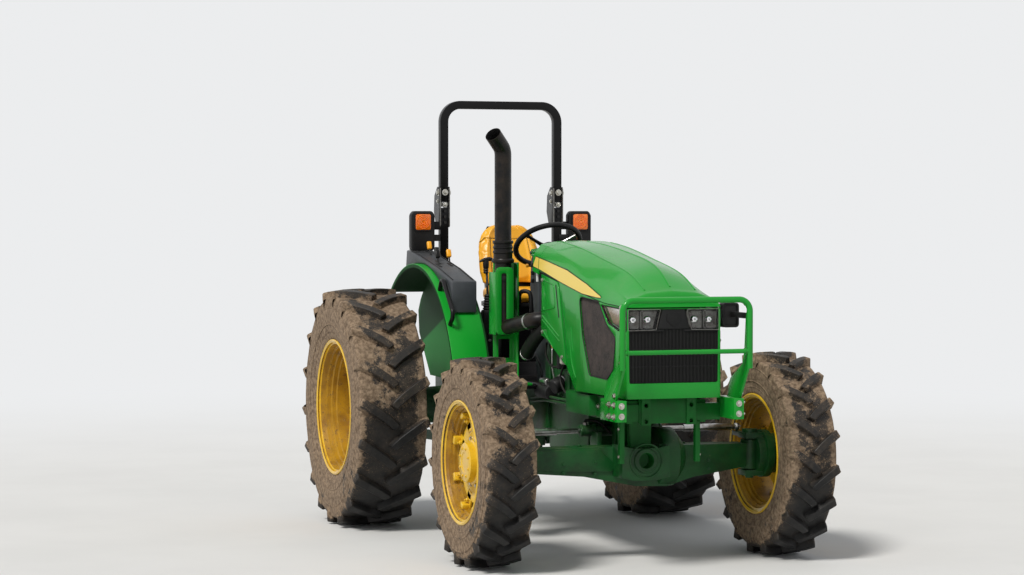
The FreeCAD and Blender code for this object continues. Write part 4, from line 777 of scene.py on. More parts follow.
def lug_bar(wheel, way, lug, slant, width):
    """One curved tread bar; way is the side it runs to, its inner end lies lower on the tyre's front."""
    radius, half = wheel.radius, wheel.half
    overlap = 0.008
    length = (half * 0.99 + overlap - width / 2 * math.sin(slant)) / math.cos(slant)
    rise = length * math.sin(slant) / 2

    def line(share):
        """Across the tyre and around it, in metres, at a share of the bar's length."""
        return Vector((way * (-overlap + share * (half + overlap - 0.002)), rise * (1 - 2 * share ** 0.80)))

    part = bmesh.new()
    rows = []
    # share along the bar, how far its top lies under the tip circle, and how deep its foot is
    steps = ((0.0, 0.004, 0.0), (0.05, 0.001, 0.0), (0.25, 0.001, 0.0), (0.45, 0.001, 0.0),
             (0.64, 0.003, 0.0),
             (0.82, 0.006, 0.004), (0.93, 0.009, 0.012), (0.985, 0.014, 0.030), (1.0, 0.052, 0.060))
    for share, drop, deep in steps:
        spot = line(share)
        ahead = (line(min(share + 0.03, 1.0)) - line(share - 0.03 if share > 0.03 else 0.0)).normalized()
        across = Vector((-ahead.y, ahead.x)) * way
        top = radius - drop
        foot = min(radius - lug - 0.010 - deep, top - 0.004)
        reach = width * (0.50 + 0.12 * share)
        row = []
        for side, out in ((-1, foot), (-1, top), (1, top), (1, foot)):
            lean = reach + (0.30 * lug if out == foot else 0.0)
            x = spot.x + across.x * lean * side
            x = max(-half * 0.998, min(half * 0.998, x))
            turn = (spot.y + across.y * lean * side) / radius
            row.append(part.verts.new((x, -out * math.sin(turn), out * math.cos(turn))))
        rows.append(row)
    skinned(part, rows)
    soften(part, sharp_edges(part, 32), 0.0032, 1)
    return part


def add_tyre(wheel, lug, slant, width):
    tread = bmesh.new()
    spun(tread, carcass_profile(wheel, lug), (0, 0, 0), steps=108)
    step = math.tau / LUGS
    for way in (LEFT, RIGHT):
        part = lug_bar(wheel, way, lug, math.radians(slant), width)
        start = step / 2 if way == RIGHT else 0.0
        bmesh.ops.rotate(part, cent=(0, 0, 0), matrix=Matrix.Rotation(start, 3, "X"), verts=part.verts)
        copies = part.copy()
        for i in range(1, LUGS):
            bmesh.ops.rotate(part, cent=(0, 0, 0), matrix=Matrix.Rotation(step, 3, "X"), verts=part.verts)
            join(copies, part.copy())
        part.free()
        join(tread, copies)
    # a few raised rings on the wall
    for side in (LEFT, RIGHT):
        for share, thick in ((0.16, 0.004), (0.30, 0.003), (0.62, 0.003)):
            out = wheel.rim_radius + (wheel.radius - wheel.rim_radius) * share
            along = wheel.half * (0.935 if share < 0.2 else 0.98 if share < 0.5 else 0.975)
            profile = on_side(side, ring(along, out, thick, thick * 1.6, 6))
            spun(tread, profile, (0, 0, 0), steps=108, closed=True)
    rough_up(tread, 0.0014, 34.0, wheel.centre.x + wheel.centre.y)
    rough_up(tread, 0.0018, 9.0, wheel.centre.y)
    mud = tread.verts.layers.float.new("mud")
    base = wheel.radius - lug
    for vert in tread.verts:
        out = math.hypot(vert.co.y, vert.co.z)
        height = min(1.0, max(0.0, (out - base) / lug))
        wall = min(1.0, max(0.0, (base - 0.004 - out) / 0.035))
        # the mud thins towards the bottom of the tyre, so the rubber shows darker low down
        low = min(1.0, max(0.0, (0.35 - vert.co.z / wheel.radius) / 1.1))
        shoulder = min(1.0, max(0.0, (abs(vert.co.x) / wheel.half - 0.55) / 0.35))
        tread_mud = 0.50 + 0.34 * shoulder - 0.26 * height - 0.62 * low
        patch = 0.30 * noise.noise(vert.co * 4.0 + wheel.centre * 3.0)
        vert[mud] = tread_mud * (1 - wall) + (0.92 - 0.30 * low) * wall + patch
    bmesh.ops.translate(tread, vec=wheel.centre, verts=tread.verts)
    finished("tyre_%s_tread" % wheel.name, tread, tyre_rubber, wheel.body,
             ("tyre_" + wheel.name,), 34.0)


def add_rim(wheel, disc_place, hub_radius, disc_radius, ears, ear_half, cap_length, cap_radius):
    """A rim with its well, a dished disc whose ears reach the well, and the hub's cap."""
    radius, half, side, centre = wheel.rim_radius, wheel.rim_half, wheel.side, wheel.centre
    shape = bmesh.new()
    wall = 0.006
    flange = [
        (half - 0.004, radius - 0.014), (half, radius - 0.007), (half - 0.003, radius),
        (half - 0.010, radius + 0.001),
        (half - 0.014, radius - 0.006), (half - 0.016, radius - 0.022), (half * 0.74, radius - 0.028)]
    well = [(half * 0.72, radius - 0.039), (half * 0.60, radius - 0.041), (half * 0.57, radius - 0.052),
            (half * 0.45, radius - 0.053), (half * 0.42, radius - 0.062), (half * 0.12, radius - 0.063)]
    outer = flange + well
    outer += [(-a, r) for a, r in reversed(outer)]
    inner = [(a * (1 - wall / half), r - wall) for a, r in outer]
    inner[0] = (half - 0.006, radius - 0.019)
    inner[-1] = (-(half - 0.006), radius - 0.019)
    spun(shape, outer + list(reversed(inner)), centre, steps=96, paint=2, closed=True)
    # the barrel takes the darker yellow as painted shade; only the flanges keep the bright yellow
    for part_face in shape.faces:
        spot = part_face.calc_center_median() - centre
        if math.hypot(spot.y, spot.z) > radius - 0.026:
            part_face.material_index = 0
    face = Vector((centre.x + side * disc_place, centre.y, centre.z))
    # the disc: a raised rim of its own, a dish and the flat that the hub's nuts hold
    dish = [
        (0.0, disc_radius), (0.012, disc_radius), (0.012, disc_radius * 0.86), (0.004, disc_radius * 0.78),
        (0.004, hub_radius + 0.012), (0.010, hub_radius), (0.010, 0.02), (-0.004, 0.02),
        (-0.004, disc_radius * 0.84), (0.0, disc_radius * 0.9)]
    spun(shape, on_side(side, dish), face, steps=64, closed=True)
    low, high = disc_radius * 0.80, radius - 0.060
    for i in range(ears):
        angle = math.tau * (i + 0.5) / ears
        part = bmesh.new()
        block(part, (0, -ear_half, low), (0.012, ear_half, high), 0.004)
        block(part, (-0.020, -ear_half * 0.70, high - 0.026), (0.050, ear_half * 0.70, high + 0.002), 0.006)
        bar(part, (0.012, 0, high - 0.044), (0.026, 0, high - 0.044), 0.012, sides=6, bevel=0.002)
        bar(part, (0.026, 0, high - 0.044), (0.036, 0, high - 0.044), 0.006, sides=12)
        if side == RIGHT:
            bmesh.ops.scale(part, vec=(-1, 1, 1), verts=part.verts)
            bmesh.ops.reverse_faces(part, faces=part.faces)
        moved(part, Matrix.Translation(face) @ Matrix.Rotation(angle - math.pi / 2, 4, "X"))
        join(shape, part)
    cap = [(0.0, cap_radius * 1.12), (0.35, cap_radius * 1.10), (0.42, cap_radius), (0.92, cap_radius * 0.97),
           (1.0, cap_radius * 0.90), (1.0, cap_radius * 0.5), (0.94, cap_radius * 0.46), (0.94, 0.0)]
    spun(shape, [(side * a * cap_length, r) for a, r in cap], face, steps=48)
    for i in range(8):
        angle = math.tau * (i + 0.5) / 8
        for out, x, head, paint in ((hub_radius * 0.86, 0.010, 0.011, 1),
                                    (cap_radius * 0.72, cap_length, 0.006, 0)):
            spot = Vector((side * x, out * math.cos(angle), out * math.sin(angle)))
            bolt(shape, face + spot, (side, 0, 0), head, paint)
    # the hub behind the disc
    hub_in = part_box("rim_" + wheel.name)[0 if side == LEFT else 1].x
    bar(shape, (hub_in, centre.y, centre.z), face, hub_radius * 0.72, sides=40, bevel=0.004, paint=3)
    finished("rim_%s_finish" % wheel.name, shape, [rim_yellow, zinc, rim_shaded_muddy, casting_green], wheel.body,
             ("rim_" + wheel.name,))


for end, lug, slant, width in (("front", 0.034, 40, 0.034), ("rear", 0.034, 38, 0.042)):
    for label, side in SIDES:
        wheel = Wheel(end, label)
        add_tyre(wheel, lug, slant, width)
        if end == "front":
            add_rim(wheel, 0.040, 0.150, 0.215, 8, 0.032, 0.064, 0.108)
        else:
            add_rim(wheel, -0.065, 0.170, 0.270, 8, 0.040, 0.070, 0.078)


# Hood: the lid, its sides, the cowl and the stripe
SECTIONS = (
    # behind the front axle, half width, then the heights of seam, band, crease, flank and crown
    (-0.605, 0.262, 1.383, 1.405, 1.425, 1.449, 1.456), (-0.425, 0.264, 1.394, 1.420, 1.452, 1.530, 1.562),
    (-0.275, 0.267, 1.402, 1.432, 1.477, 1.572, 1.612), (0.025, 0.276, 1.444, 1.512, 1.542, 1.622, 1.657),
    (0.405, 0.284, 1.506, 1.590, 1.635, 1.680, 1.697), (0.715, 0.285, 1.550, 1.628, 1.684, 1.709, 1.713),
    (0.815, 0.285, 1.566, 1.640, 1.698, 1.714, 1.717))
CREASE = 0.234
FLANK = 0.140
FRONT_Y = AXLE_FRONT.y
HOOD_BOTTOM = 0.915
GAP = 0.0025


def hood_at(y):
    """Half width and heights at a place along the hood, flowing through its sections."""
    back = min(max(y - FRONT_Y, SECTIONS[0][0]), SECTIONS[-1][0])
    i = max(k for k in range(len(SECTIONS) - 1) if SECTIONS[k][0] <= back)
    first, second = SECTIONS[i], SECTIONS[i + 1]
    before = SECTIONS[max(i - 1, 0)]
    after = SECTIONS[min(i + 2, len(SECTIONS) - 1)]
    span = second[0] - first[0]
    t = (back - first[0]) / span
    values = []
    for k in range(1, len(first)):
        lean_in = (second[k] - before[k]) / (second[0] - before[0]) * span
        lean_out = (after[k] - first[k]) / (after[0] - first[0]) * span
        values.append((2 * t ** 3 - 3 * t * t + 1) * first[k] + (t ** 3 - 2 * t * t + t) * lean_in
                      + (3 * t * t - 2 * t ** 3) * second[k] + (t ** 3 - t * t) * lean_out)
    return values


def lid_line(y):
    """A cross-section's outline from the left seam over the crown to the right one."""
    half, seam, band, crease, flank, crown = hood_at(y)
    ends = [Vector(c) for c in ((half, seam + GAP), (half - 0.004, band), (CREASE, crease), (FLANK, flank),
                                (0, crown), (-FLANK, flank))]
    points = ends[:1]
    for before, here, after, trim in zip(ends, ends[1:], ends[2:], (0.022, 0.010, 0.020, 0.006)):
        start = here + (before - here).normalized() * min(trim, (before - here).length * 0.45)
        end = here + (after - here).normalized() * min(trim, (after - here).length * 0.45)
        points += arc(start, here, end, 5)
    left = [p for p in points if p.x > 1e-5]
    return [(p.x, p.y) for p in left] + [(0.0, points[-3].y)] + [(-p.x, p.y) for p in reversed(left)]


def sheet_up(part, rows, thickness):
    """Makes a sheet of rows, its outer side up, and gives it its thickness on the inner side."""
    skinned(part, rows, ends=False)
    if sum(f.normal.z for f in part.faces) < 0:
        bmesh.ops.reverse_faces(part, faces=part.faces)
    bmesh.ops.solidify(part, geom=part.faces[:], thickness=thickness)
    faced_out(part)


def lid_sheet(stations, tuck, thickness):
    """A sheet through cross-sections, whose front end turns down to the seam."""
    part = bmesh.new()
    rows = []
    for y in stations:
        rows.append([part.verts.new((x, y, z)) for x, z in lid_line(y)])
    y = stations[0]
    seam = hood_at(y)[1] + GAP
    for step in range(1, 7):
        turn = math.pi / 2 * step / 6
        flatter = math.cos(turn) ** 0.7 if step < 6 else 0.0
        narrower = 1 - 0.004 * (1 - math.cos(turn))
        rows.insert(0, [part.verts.new((x * narrower, y - tuck * math.sin(turn), seam + (z - seam) * flatter))
                        for x, z in lid_line(y)])
    sheet_up(part, rows, thickness)
    return part


def side_sheet(outline, holes=(), inset=0.0, thickness=0.006, bevel=0.0012):
    """A sheet in the hood's side, cut out in (y, z) and bent to the hood's half width."""
    part = flat(outline, holes)
    merged(part)
    for i in range(1, 28):
        cut(part, (HOOD_FRONT + i * 0.05, 0, 0), (1, 0, 0))
    for vert in part.verts:
        y, z = vert.co.x, vert.co.y
        vert.co = (hood_at(y)[0] - inset, y, z)
    deepened(part, (-thickness, 0, 0))
    soften(part, sharp_edges(part, 60), bevel)
    return part


def mirrored(shape, part, paint=0):
    """Adds a part and its mirror image across the centre plane."""
    other = part.copy()
    bmesh.ops.scale(other, vec=(-1, 1, 1), verts=other.verts)
    bmesh.ops.reverse_faces(other, faces=other.faces)
    join(shape, part, paint)
    join(shape, other, paint)


def edge_strip(shape, outline, across, radius, paint, closed=True):
    """A thin raised line along an outline in (y, z) on both sides of the hood."""
    points = [Vector((across(y), y, z)) for y, z in outline]
    if closed:
        points.append(points[0])
    part = bmesh.new()
    pipe(part, points, radius, 2)
    mirrored(shape, part, paint)


SCREEN_EDGE = [(FRONT_Y + y, z) for y, z in (
    (0.066, 1.425), (0.020, 1.221), (-0.079, 1.011), (-0.333, 1.002), (-0.420, 1.060), (-0.450, 1.225),
    (-0.322, 1.290), (-0.208, 1.408))]
LAMP_EDGE = [(HOOD_FRONT, 1.262), (FRONT_Y - 0.480, 1.262), (FRONT_Y - 0.338, 1.294),
             (FRONT_Y - 0.232, 1.392),
             (HOOD_FRONT, 1.378)]
SLOT_EDGE = [(FRONT_Y + 0.128, HOOD_BOTTOM), (FRONT_Y + 0.250, 1.035), (FRONT_Y + 0.372, 1.470),
             (FRONT_Y + 0.405, 1.500)]


def seam_run(rear, front, drop):
    return [(y, hood_at(y)[1] - drop) for y in spread(rear, front, 24)]


def make_hood():
    shape = bmesh.new()
    tuck = 0.030
    join(shape, lid_sheet(spread(HOOD_FRONT + tuck, HOOD_REAR - 0.0015, 56), tuck, 0.006))
    # the sides, with holes for the screens and the lamps
    edge = HOOD_FRONT + 0.004
    outline = seam_run(SLOT_EDGE[-1][0], HOOD_FRONT + 0.012, GAP) + [
        (edge, 1.3795), LAMP_EDGE[3], LAMP_EDGE[2], LAMP_EDGE[1], (edge, 1.262), (edge, HOOD_BOTTOM)]
    mirrored(shape, side_sheet(outline + SLOT_EDGE[:-1], [rounded(SCREEN_EDGE, 0.035)]))
    # the front wall around the lamps and the grille
    half = hood_at(HOOD_FRONT)[0] - 0.003
    front_wall = [(half, HOOD_BOTTOM), (half, 1.3805), (-half, 1.3805), (-half, HOOD_BOTTOM)]
    hole = rounded([(-0.246, 0.995), (0.246, 0.995), (0.250, 1.378), (-0.250, 1.378)], 0.012)
    plate(shape, rounded(front_wall, 0.010), 0.012, facing("Y", HOOD_FRONT), [hole], 0.002)
    # the pressed creases on the lid: one along the middle, one along each flank
    rows = spread(HOOD_FRONT + 0.06, HOOD_REAR - 0.02, 40)
    pipe(shape, [(0, y, hood_at(y)[5] - 0.0030) for y in rows], 0.0060, 3)
    ridge = bmesh.new()
    pipe(ridge, [(FLANK, y, hood_at(y)[4] - 0.0038) for y in rows], 0.0058, 3)
    mirrored(shape, ridge)
    # under the lid, a black seal closes the seam
    seal = seam_run(HOOD_REAR - 0.004, HOOD_FRONT + 0.020, 0.010)
    seal += [(y, z + 0.022) for y, z in reversed(seal)]
    mirrored(shape, side_sheet(seal, (), 0.0075, 0.003, 0.0), 1)
    # creased lines pressed into the side
    for line in (((-0.835, 1.255), (-0.862, 1.125)), ((-0.815, 1.190), (-0.850, 1.060), (-0.905, 0.985))):
        pressed = bmesh.new()
        pipe(pressed, flowing([(hood_at(y)[0] - 0.0012, y, z) for y, z in line], 6), 0.0042, 3)
        mirrored(shape, pressed)
    # a dark outline around the screens
    edge_strip(shape, rounded(SCREEN_EDGE, 0.035), lambda y: hood_at(y)[0] + 0.0005, 0.0030, 1)
    finished("hood_skin", shape, [green_paint, black_plastic], "hood", ("hood_shell",), 26.0)


def make_cowl():
    shape = bmesh.new()
    last = FRONT_Y + SECTIONS[-1][0]
    cowl = bmesh.new()
    rows = []
    for y in spread(HOOD_REAR + 0.0015, last, 6):
        half, seam = hood_at(y)[:2]
        line = [(half, seam - 0.020), *lid_line(y), (-half, seam - 0.020)]
        rows.append([cowl.verts.new((x, y, z)) for x, z in line])
    sheet_up(cowl, rows, 0.006)
    join(shape, cowl)
    # the two arms that reach the hinge's pins
    pivot = joint_place("hood_tilt")
    arm = rounded([(last - 0.035, pivot.z - 0.045), (last - 0.035, pivot.z + 0.030),
                   (pivot.y, pivot.z + 0.021),
                   (pivot.y + 0.021, pivot.z), (pivot.y, pivot.z - 0.021)], 0.014)
    eye = ring(pivot.y, pivot.z, 0.0085, 0.0085, 24)
    for low in (0.183, -0.195):
        plate(shape, arm, 0.012, facing("X", low), [eye], 0.002)
    finished("cowl_skin", shape, [green_paint], "hood", ("rear_cowl",), 26.0)


STRIPE = ((-0.214, 1.575), (-0.256, 1.627), (-0.500, 1.598), (-0.767, 1.561), (-1.058, 1.493),
          (-1.200, 1.450),
          (-1.280, 1.427), (-1.200, 1.428), (-1.005, 1.442), (-0.700, 1.492), (-0.364, 1.552))


def side_surface(y, z, lift):
    """A place on the lid's side or shoulder from (y, z), lifted off it a little."""
    half, seam, band, crease = hood_at(y)[:4]
    if z <= band:
        return Vector((half - 0.004 * (z - seam) / (band - seam) + lift, y, z))
    share = (z - band) / (crease - band)
    x = (half - 0.004) + (CREASE - half + 0.004) * share
    out = Vector((crease - band, half - 0.004 - CREASE)).normalized()
    return Vector((x + lift * out.x, y, z + lift * out.y))


def widened(part, amount):
    """Pushes the rim of a flat part outwards in its plane."""
    part.normal_update()
    moves = []
    for vert in [v for v in part.verts if v.is_boundary]:
        way = Vector((0, 0, 0))
        for edge in [e for e in vert.link_edges if e.is_boundary]:
            along = edge.verts[1].co - edge.verts[0].co
            out = Vector((along.y, -along.x, 0)).normalized()
            inner = edge.link_faces[0].calc_center_median() - edge.verts[0].co
            way += out if out.dot(inner) < 0 else -out
        moves.append((vert, way.normalized() * amount))
    for vert, move in moves:
        vert.co += move


def make_stripe(name, rear, front):
    """The yellow wedge along the lid's shoulder, with a thin dark outline, between two places."""
    shape = bmesh.new()
    for lift, grow, paint in ((0.0008, 0.0045, 1), (0.0014, 0.0, 0)):
        part = flat(rounded(STRIPE, 0.006))
        merged(part)
        if grow:
            widened(part, grow)
        for i in range(40):
            cut(part, (HOOD_FRONT + 0.30 + i * 0.03, 0, 0), (1, 0, 0))
        for i in range(10):
            cut(part, (0, 1.40 + 0.025 * i, 0), (0, 1, 0))
        cut(part, (rear, 0, 0), (1, 0, 0), True)
        cut(part, (front, 0, 0), (-1, 0, 0), True)
        for vert in part.verts:
            vert.co = side_surface(vert.co.x, vert.co.y, lift)
        mirrored(shape, part, paint)
    finished(name, shape, [stripe_yellow, black_plastic], "hood", (), 40.0)


make_hood()
make_cowl()
make_stripe("stripe_hood", HOOD_REAR - 0.004, -2.0)
make_stripe("stripe_cowl", 0.0, HOOD_REAR + 0.004)


# Grille, screens and headlamps
def make_grille():
    shape = bmesh.new()
    y = HOOD_FRONT + 0.008
    # fine upright bars before a dark back, a black sheet as painted shade behind the bars
    block(shape, (-0.246, y + 0.010, 0.995), (0.246, y + 0.016, 1.262), 0.0, paint=1)
    block(shape, (-0.060, y + 0.010, 1.260), (0.060, y + 0.016, 1.378), 0.0, paint=1)
    for x in spread(-0.243, 0.243, 62):
        top = 1.376 if abs(x) < 0.060 else 1.262
        block(shape, (x - 0.0016, y, 0.997), (x + 0.0016, y + 0.010, top), 0.0, paint=1)
    for z in (1.08, 1.17):
        block(shape, (-0.246, y + 0.003, z - 0.002), (0.246, y + 0.009, z + 0.002), 0.0)
    # the frame around it, and the lip under the lamps
    for side in (LEFT, RIGHT):
        block(shape, (side * 0.248 - 0.005, y - 0.003, 0.995), (side * 0.248 + 0.005, y + 0.012, 1.378),
              0.002)
    for low, high in ((-0.250, -0.058), (0.058, 0.250)):
        block(shape, (low, y - 0.006, 1.262), (high, y + 0.012, 1.272), 0.002)
    # the middle panel between the lamps, with a bare raised shield
    panel = [(-0.062, 1.378), (-0.090, 1.275), (0.090, 1.275), (0.062, 1.378)]
    plate(shape, rounded(panel, 0.006), 0.010, facing("Y", y - 0.004), (), 0.002)
    shield = [(-0.036, 1.360), (-0.040, 1.318), (0.0, 1.285), (0.040, 1.318), (0.036, 1.360)]
    plate(shape, rounded(shield, 0.010), 0.004, facing("Y", y - 0.008), (), 0.001)
    # the side screens, each a perforated sheet
    mirrored(shape, side_sheet(rounded(SCREEN_EDGE, 0.035), (), 0.008, 0.004, 0.0), 2)
    finished("grille_skin", shape, [black_plastic, deep_black, screen_mesh], "hood",
             ("grille_screens",))


def lamp_box(outline, depth, place):
    """A reflector bowl sunk behind its outline, which is given in (x, z)."""
    part = flat(outline)
    merged(part)
    moved(part, facing("Y", place))
    for inset, sink in ((0.004, 0.0), (0.003, depth * 0.5), (0.014, depth * 0.5)):
        bmesh.ops.inset_region(part, faces=[f for f in part.faces if len(f.verts) > 4], thickness=inset,
                               use_even_offset=True)
        verts = {v for f in part.faces if len(f.verts) > 4 for v in f.verts}
        bmesh.ops.translate(part, vec=(0, sink, 0), verts=list(verts))
    return part


def outlined(shape, outline, y, radius, paint):
    """A thin raised line along a closed outline in (x, z)."""
    points = [(x, y, z) for x, z in outline]
    pipe(shape, points + points[:1], radius, 2, paint)


def make_headlamps():
    shape = bmesh.new()
    y = HOOD_FRONT
    for side in (LEFT, RIGHT):
        back = on_side(side, [(0.095, 1.273), (0.252, 1.271), (0.252, 1.373), (0.070, 1.373)])
        plate(shape, back, 0.010, facing("Y", y + 0.046), (), 0.0, paint=1)
        for bowl_outline, x, z in (
                ([(0.104, 1.279), (0.172, 1.277), (0.172, 1.368), (0.080, 1.368)], 0.132, 1.324),
                ([(0.178, 1.277), (0.246, 1.277), (0.247, 1.368), (0.178, 1.368)], 0.212, 1.322)):
            outline = rounded(on_side(side, bowl_outline), 0.010, 3)
            join(shape, lamp_box(outline, 0.036, y + 0.006), 4)
            outlined(shape, outline, y + 0.005, 0.0013, 1)
            x *= side
            spun(shape, [(0.0, 0.0), (0.004, 0.014), (0.016, 0.024), (0.026, 0.028)], (x, y + 0.030, z), "Y",
                 28, 0)
            bar(shape, (x, y + 0.034, z), (x, y + 0.014, z), 0.007, 0.005, 14, 0.001, 2)
        # the clear lens over both parts
        lens = rounded(on_side(side, [(0.074, 1.376), (0.098, 1.271), (0.251, 1.268), (0.252, 1.377)]),
                       0.006, 3)
        plate(shape, lens, 0.0025, facing("Y", y + 0.002), (), 0.001, paint=3)
        outlined(shape, lens, y + 0.001, 0.0019, 4)
    # the side windows: clear lenses around the corner before bright sheets
    window = rounded([(y + 0.006, 1.268), (FRONT_Y - 0.480, 1.268), (FRONT_Y - 0.342, 1.299),
                      (FRONT_Y - 0.245, 1.388), (y + 0.006, 1.374)], 0.006, 2)
    mirrored(shape, side_sheet(window, (), 0.004, 0.002, 0.0), 3)
    mirrored(shape, side_sheet(window, (), 0.016, 0.002, 0.0), 0)
    edge_strip(shape, window, lambda along: hood_at(along)[0] - 0.003, 0.0026, 1)
    finished("headlamp_skin", shape, [chrome, black_plastic, bulb_glass, clear_lens, hinge_grey], "hood",
             ("headlamps",), 30.0)


make_grille()
make_headlamps()


# Roll bar, lamp pods and exhaust
def hinge_details(shape):
    """Grey hinge cheeks with holes, pins and clips on both posts."""
    _, y, z = joint_place("hoop_fold")
    cheek = rounded(corners(y - 0.038, z - 0.215, y + 0.038, z + 0.030), 0.018)
    holes = [ring(y + dy, z + dz, 0.008, 0.008, 16)
             for dy, dz in ((-0.018, -0.175), (0.018, -0.130), (-0.018, -0.085))]
    for side in (LEFT, RIGHT):
        x = side * 0.369
        for way in (-1, 1):
            face = y + way * 0.036
            bolt(shape, (x, face, z), (0, way, 0), 0.013, 1)
            bolt(shape, (x, face, z - 0.075), (0, way, 0), 0.010, 1)
            # dark discs on each post's faces, painted as the shade of its holes
            for drop in (0.115, 0.150, 0.185):
                bar(shape, (x, face, z - drop), (x, face + way * 0.002, z - drop), 0.009, sides=16, paint=2)
        for way in (-1, 1):
            level = x + way * 0.0265 + (0.0 if way > 0 else -0.005)
            plate(shape, cheek, 0.005, facing("X", level), holes, 0.001, 3)
            bolt(shape, (x + way * 0.0315, y, z - 0.002), (way, 0, 0), 0.014, 1)
            bolt(shape, (x + way * 0.0315, y + 0.012, z - 0.055), (way, 0, 0), 0.010, 1)


WORK_LAMP = (Vector((0.292, -1.585, 1.276)), Vector((0.386, -1.503, 1.405)))


def make_pods():
    shape = bmesh.new()
    low_x, high_x = 0.436, 0.585
    pod = [(low_x, 1.640), (high_x, 1.640), (high_x, 1.860), (high_x - 0.016, 1.885), (low_x + 0.016, 1.885),
           (low_x, 1.860)]
    for side in (LEFT, RIGHT):
        plate(shape, rounded(on_side(side, pod), 0.030, 6), 0.060, facing("Y", 1.206), (), 0.006)
        rim = rounded(on_side(side, corners(0.455, 1.762, 0.569, 1.876)), 0.018, 5)
        hole = rounded(on_side(side, corners(0.462, 1.769, 0.562, 1.868)), 0.014, 5)
        plate(shape, rim, 0.012, facing("Y", 1.196), [hole], 0.002)
        plate(shape, rim, 0.010, facing("Y", 1.265), [hole], 0.002)
        block(shape, (side * 0.386 - 0.012, 1.214, 1.700), (side * 0.448 + 0.012, 1.250, 1.740), 0.006)
    # the work lamp on the front guard
    low, high = WORK_LAMP
    body = rounded(corners(low.x, low.z, high.x, high.z), 0.020, 5)
    opening = rounded(corners(low.x + 0.010, low.z + 0.010, high.x - 0.010, high.z - 0.010), 0.014, 5)
    plate(shape, body, 0.050, facing("Y", low.y + 0.016), (), 0.008)
    plate(shape, body, 0.014, facing("Y", low.y + 0.002), [opening], 0.002)
    block(shape, (0.338, -1.775, 1.330), (0.350, high.y - 0.070, 1.360), 0.002)
    lit = (low + high) / 2
    bar(shape, (lit.x, low.y + 0.060, lit.z), (lit.x, high.y, lit.z), 0.030, 0.018, 28, 0.003)
    plate(shape, opening, 0.003, facing("Y", low.y + 0.008), (), 0.001)
    finished("pod_skin", shape, [black_plastic], "chassis", ("lamp_pods",), 34.0)
    # an amber lens in front and a red one behind, each with round ribs
    glass = bmesh.new()
    for side in (LEFT, RIGHT):
        outline = rounded(on_side(side, corners(0.463, 1.770, 0.561, 1.867)), 0.013, 5)
        for y, way, paint in ((1.202, -1, 0), (1.270, 1, 1)):
            plate(glass, outline, 0.006, facing("Y", y - 0.003), (), 0.002, paint)
            for radius in (0.012, 0.022, 0.032, 0.041):
                spun(glass, ring(0, radius, 0.0022, 0.0030, 8), (side * 0.512, y + way * 0.0035, 1.8185),
                     "Y", 32,
                     paint, True)
    finished("lens_skin", glass, [amber_glass, red_glass], "chassis", ("lamp_lenses",), 34.0)


STACK_X, STACK_Y = -0.385, 0.025
STACK_RADIUS = 0.048
STACK_WALL = 0.004


def make_exhaust():
    shape = bmesh.new()
    stack = [(STACK_X, STACK_Y, 1.180), (STACK_X, STACK_Y, 2.235), (-0.463, -0.031, 2.320)]
    line = route(stack, 0.075, 10)
    inside = STACK_RADIUS - STACK_WALL
    pipe(shape, line, STACK_RADIUS, 8, 0, False)
    pipe(shape, line, inside, 8, 2, False)
    turn = (line[-1] - line[-2]).normalized().to_track_quat("X", "Z").to_matrix().to_4x4()
    lip = bmesh.new()
    spun(lip, [(-0.001, STACK_RADIUS), (0.0015, STACK_RADIUS - 0.002), (-0.001, inside)], (0, 0, 0), "X", 40)
    moved(lip, Matrix.Translation(line[-1]) @ turn)
    join(shape, lip)
    # clamp rings, and the flared collar with its grooves
    foot = (STACK_X, STACK_Y, 0.0)
    for low, high, radius in ((1.190, 1.222, 0.056), (1.480, 1.512, 0.053)):
        spun(shape, [(low, 0.047), (low, radius - 0.001), (low + 0.002, radius), (high - 0.002, radius),
                     (high, radius - 0.001), (high, 0.047)], foot, "Z", 48)
    collar = [(1.585, 0.047), (1.590, 0.062), (1.596, 0.064), (1.606, 0.064), (1.612, 0.060), (1.614, 0.055),
              (1.640, 0.054), (1.644, 0.058), (1.655, 0.058), (1.659, 0.054), (1.668, 0.0535), (1.672, 0.057),
              (1.682, 0.057), (1.686, 0.053), (1.696, 0.053), (1.700, 0.059), (1.712, 0.060), (1.716, 0.056),
              (1.716, 0.047)]
    spun(shape, collar, foot, "Z", 48)
    # the elbow from the engine, with clamps
    elbow = route([(-0.130, -0.300, 1.285), (-0.300, -0.300, 1.275), (STACK_X, STACK_Y, 1.215)], 0.09, 10)
    pipe(shape, elbow, 0.044, 7)
    for i in (1, 11):
        way = (elbow[i + 1] - elbow[i]).normalized()
        bar(shape, elbow[i] - way * 0.007, elbow[i] + way * 0.007, 0.047, sides=36, bevel=0.001, paint=1)
    finished("exhaust_skin", shape, [exhaust_black, bare_steel, deep_black], "chassis",
             ("exhaust",),
             34.0)


def shield_front(shape):
    """The green cover before the stack, with a rounded top and an upright opening."""
    outline = rounded(corners(-0.449, 1.180, -0.340, 1.565), 0.034, 8)
    opening = rounded(corners(-0.412, 1.215, -0.382, 1.530), 0.012, 6)
    plate(shape, outline, 0.004, facing("Y", -0.032), [opening], 0.0015)
    block(shape, (-0.449, -0.031, 1.180), (-0.445, 0.088, 1.535), 0.001)
    block(shape, (-0.449, 0.080, 1.180), (-0.420, 0.088, 1.535), 0.001)


make_pods()
make_exhaust()
refined("exhaust_bracket", [green_paint], 0.002, shield_front)


# Seat: two swollen pads with sewn seams
CLOTH_STEPS = 20


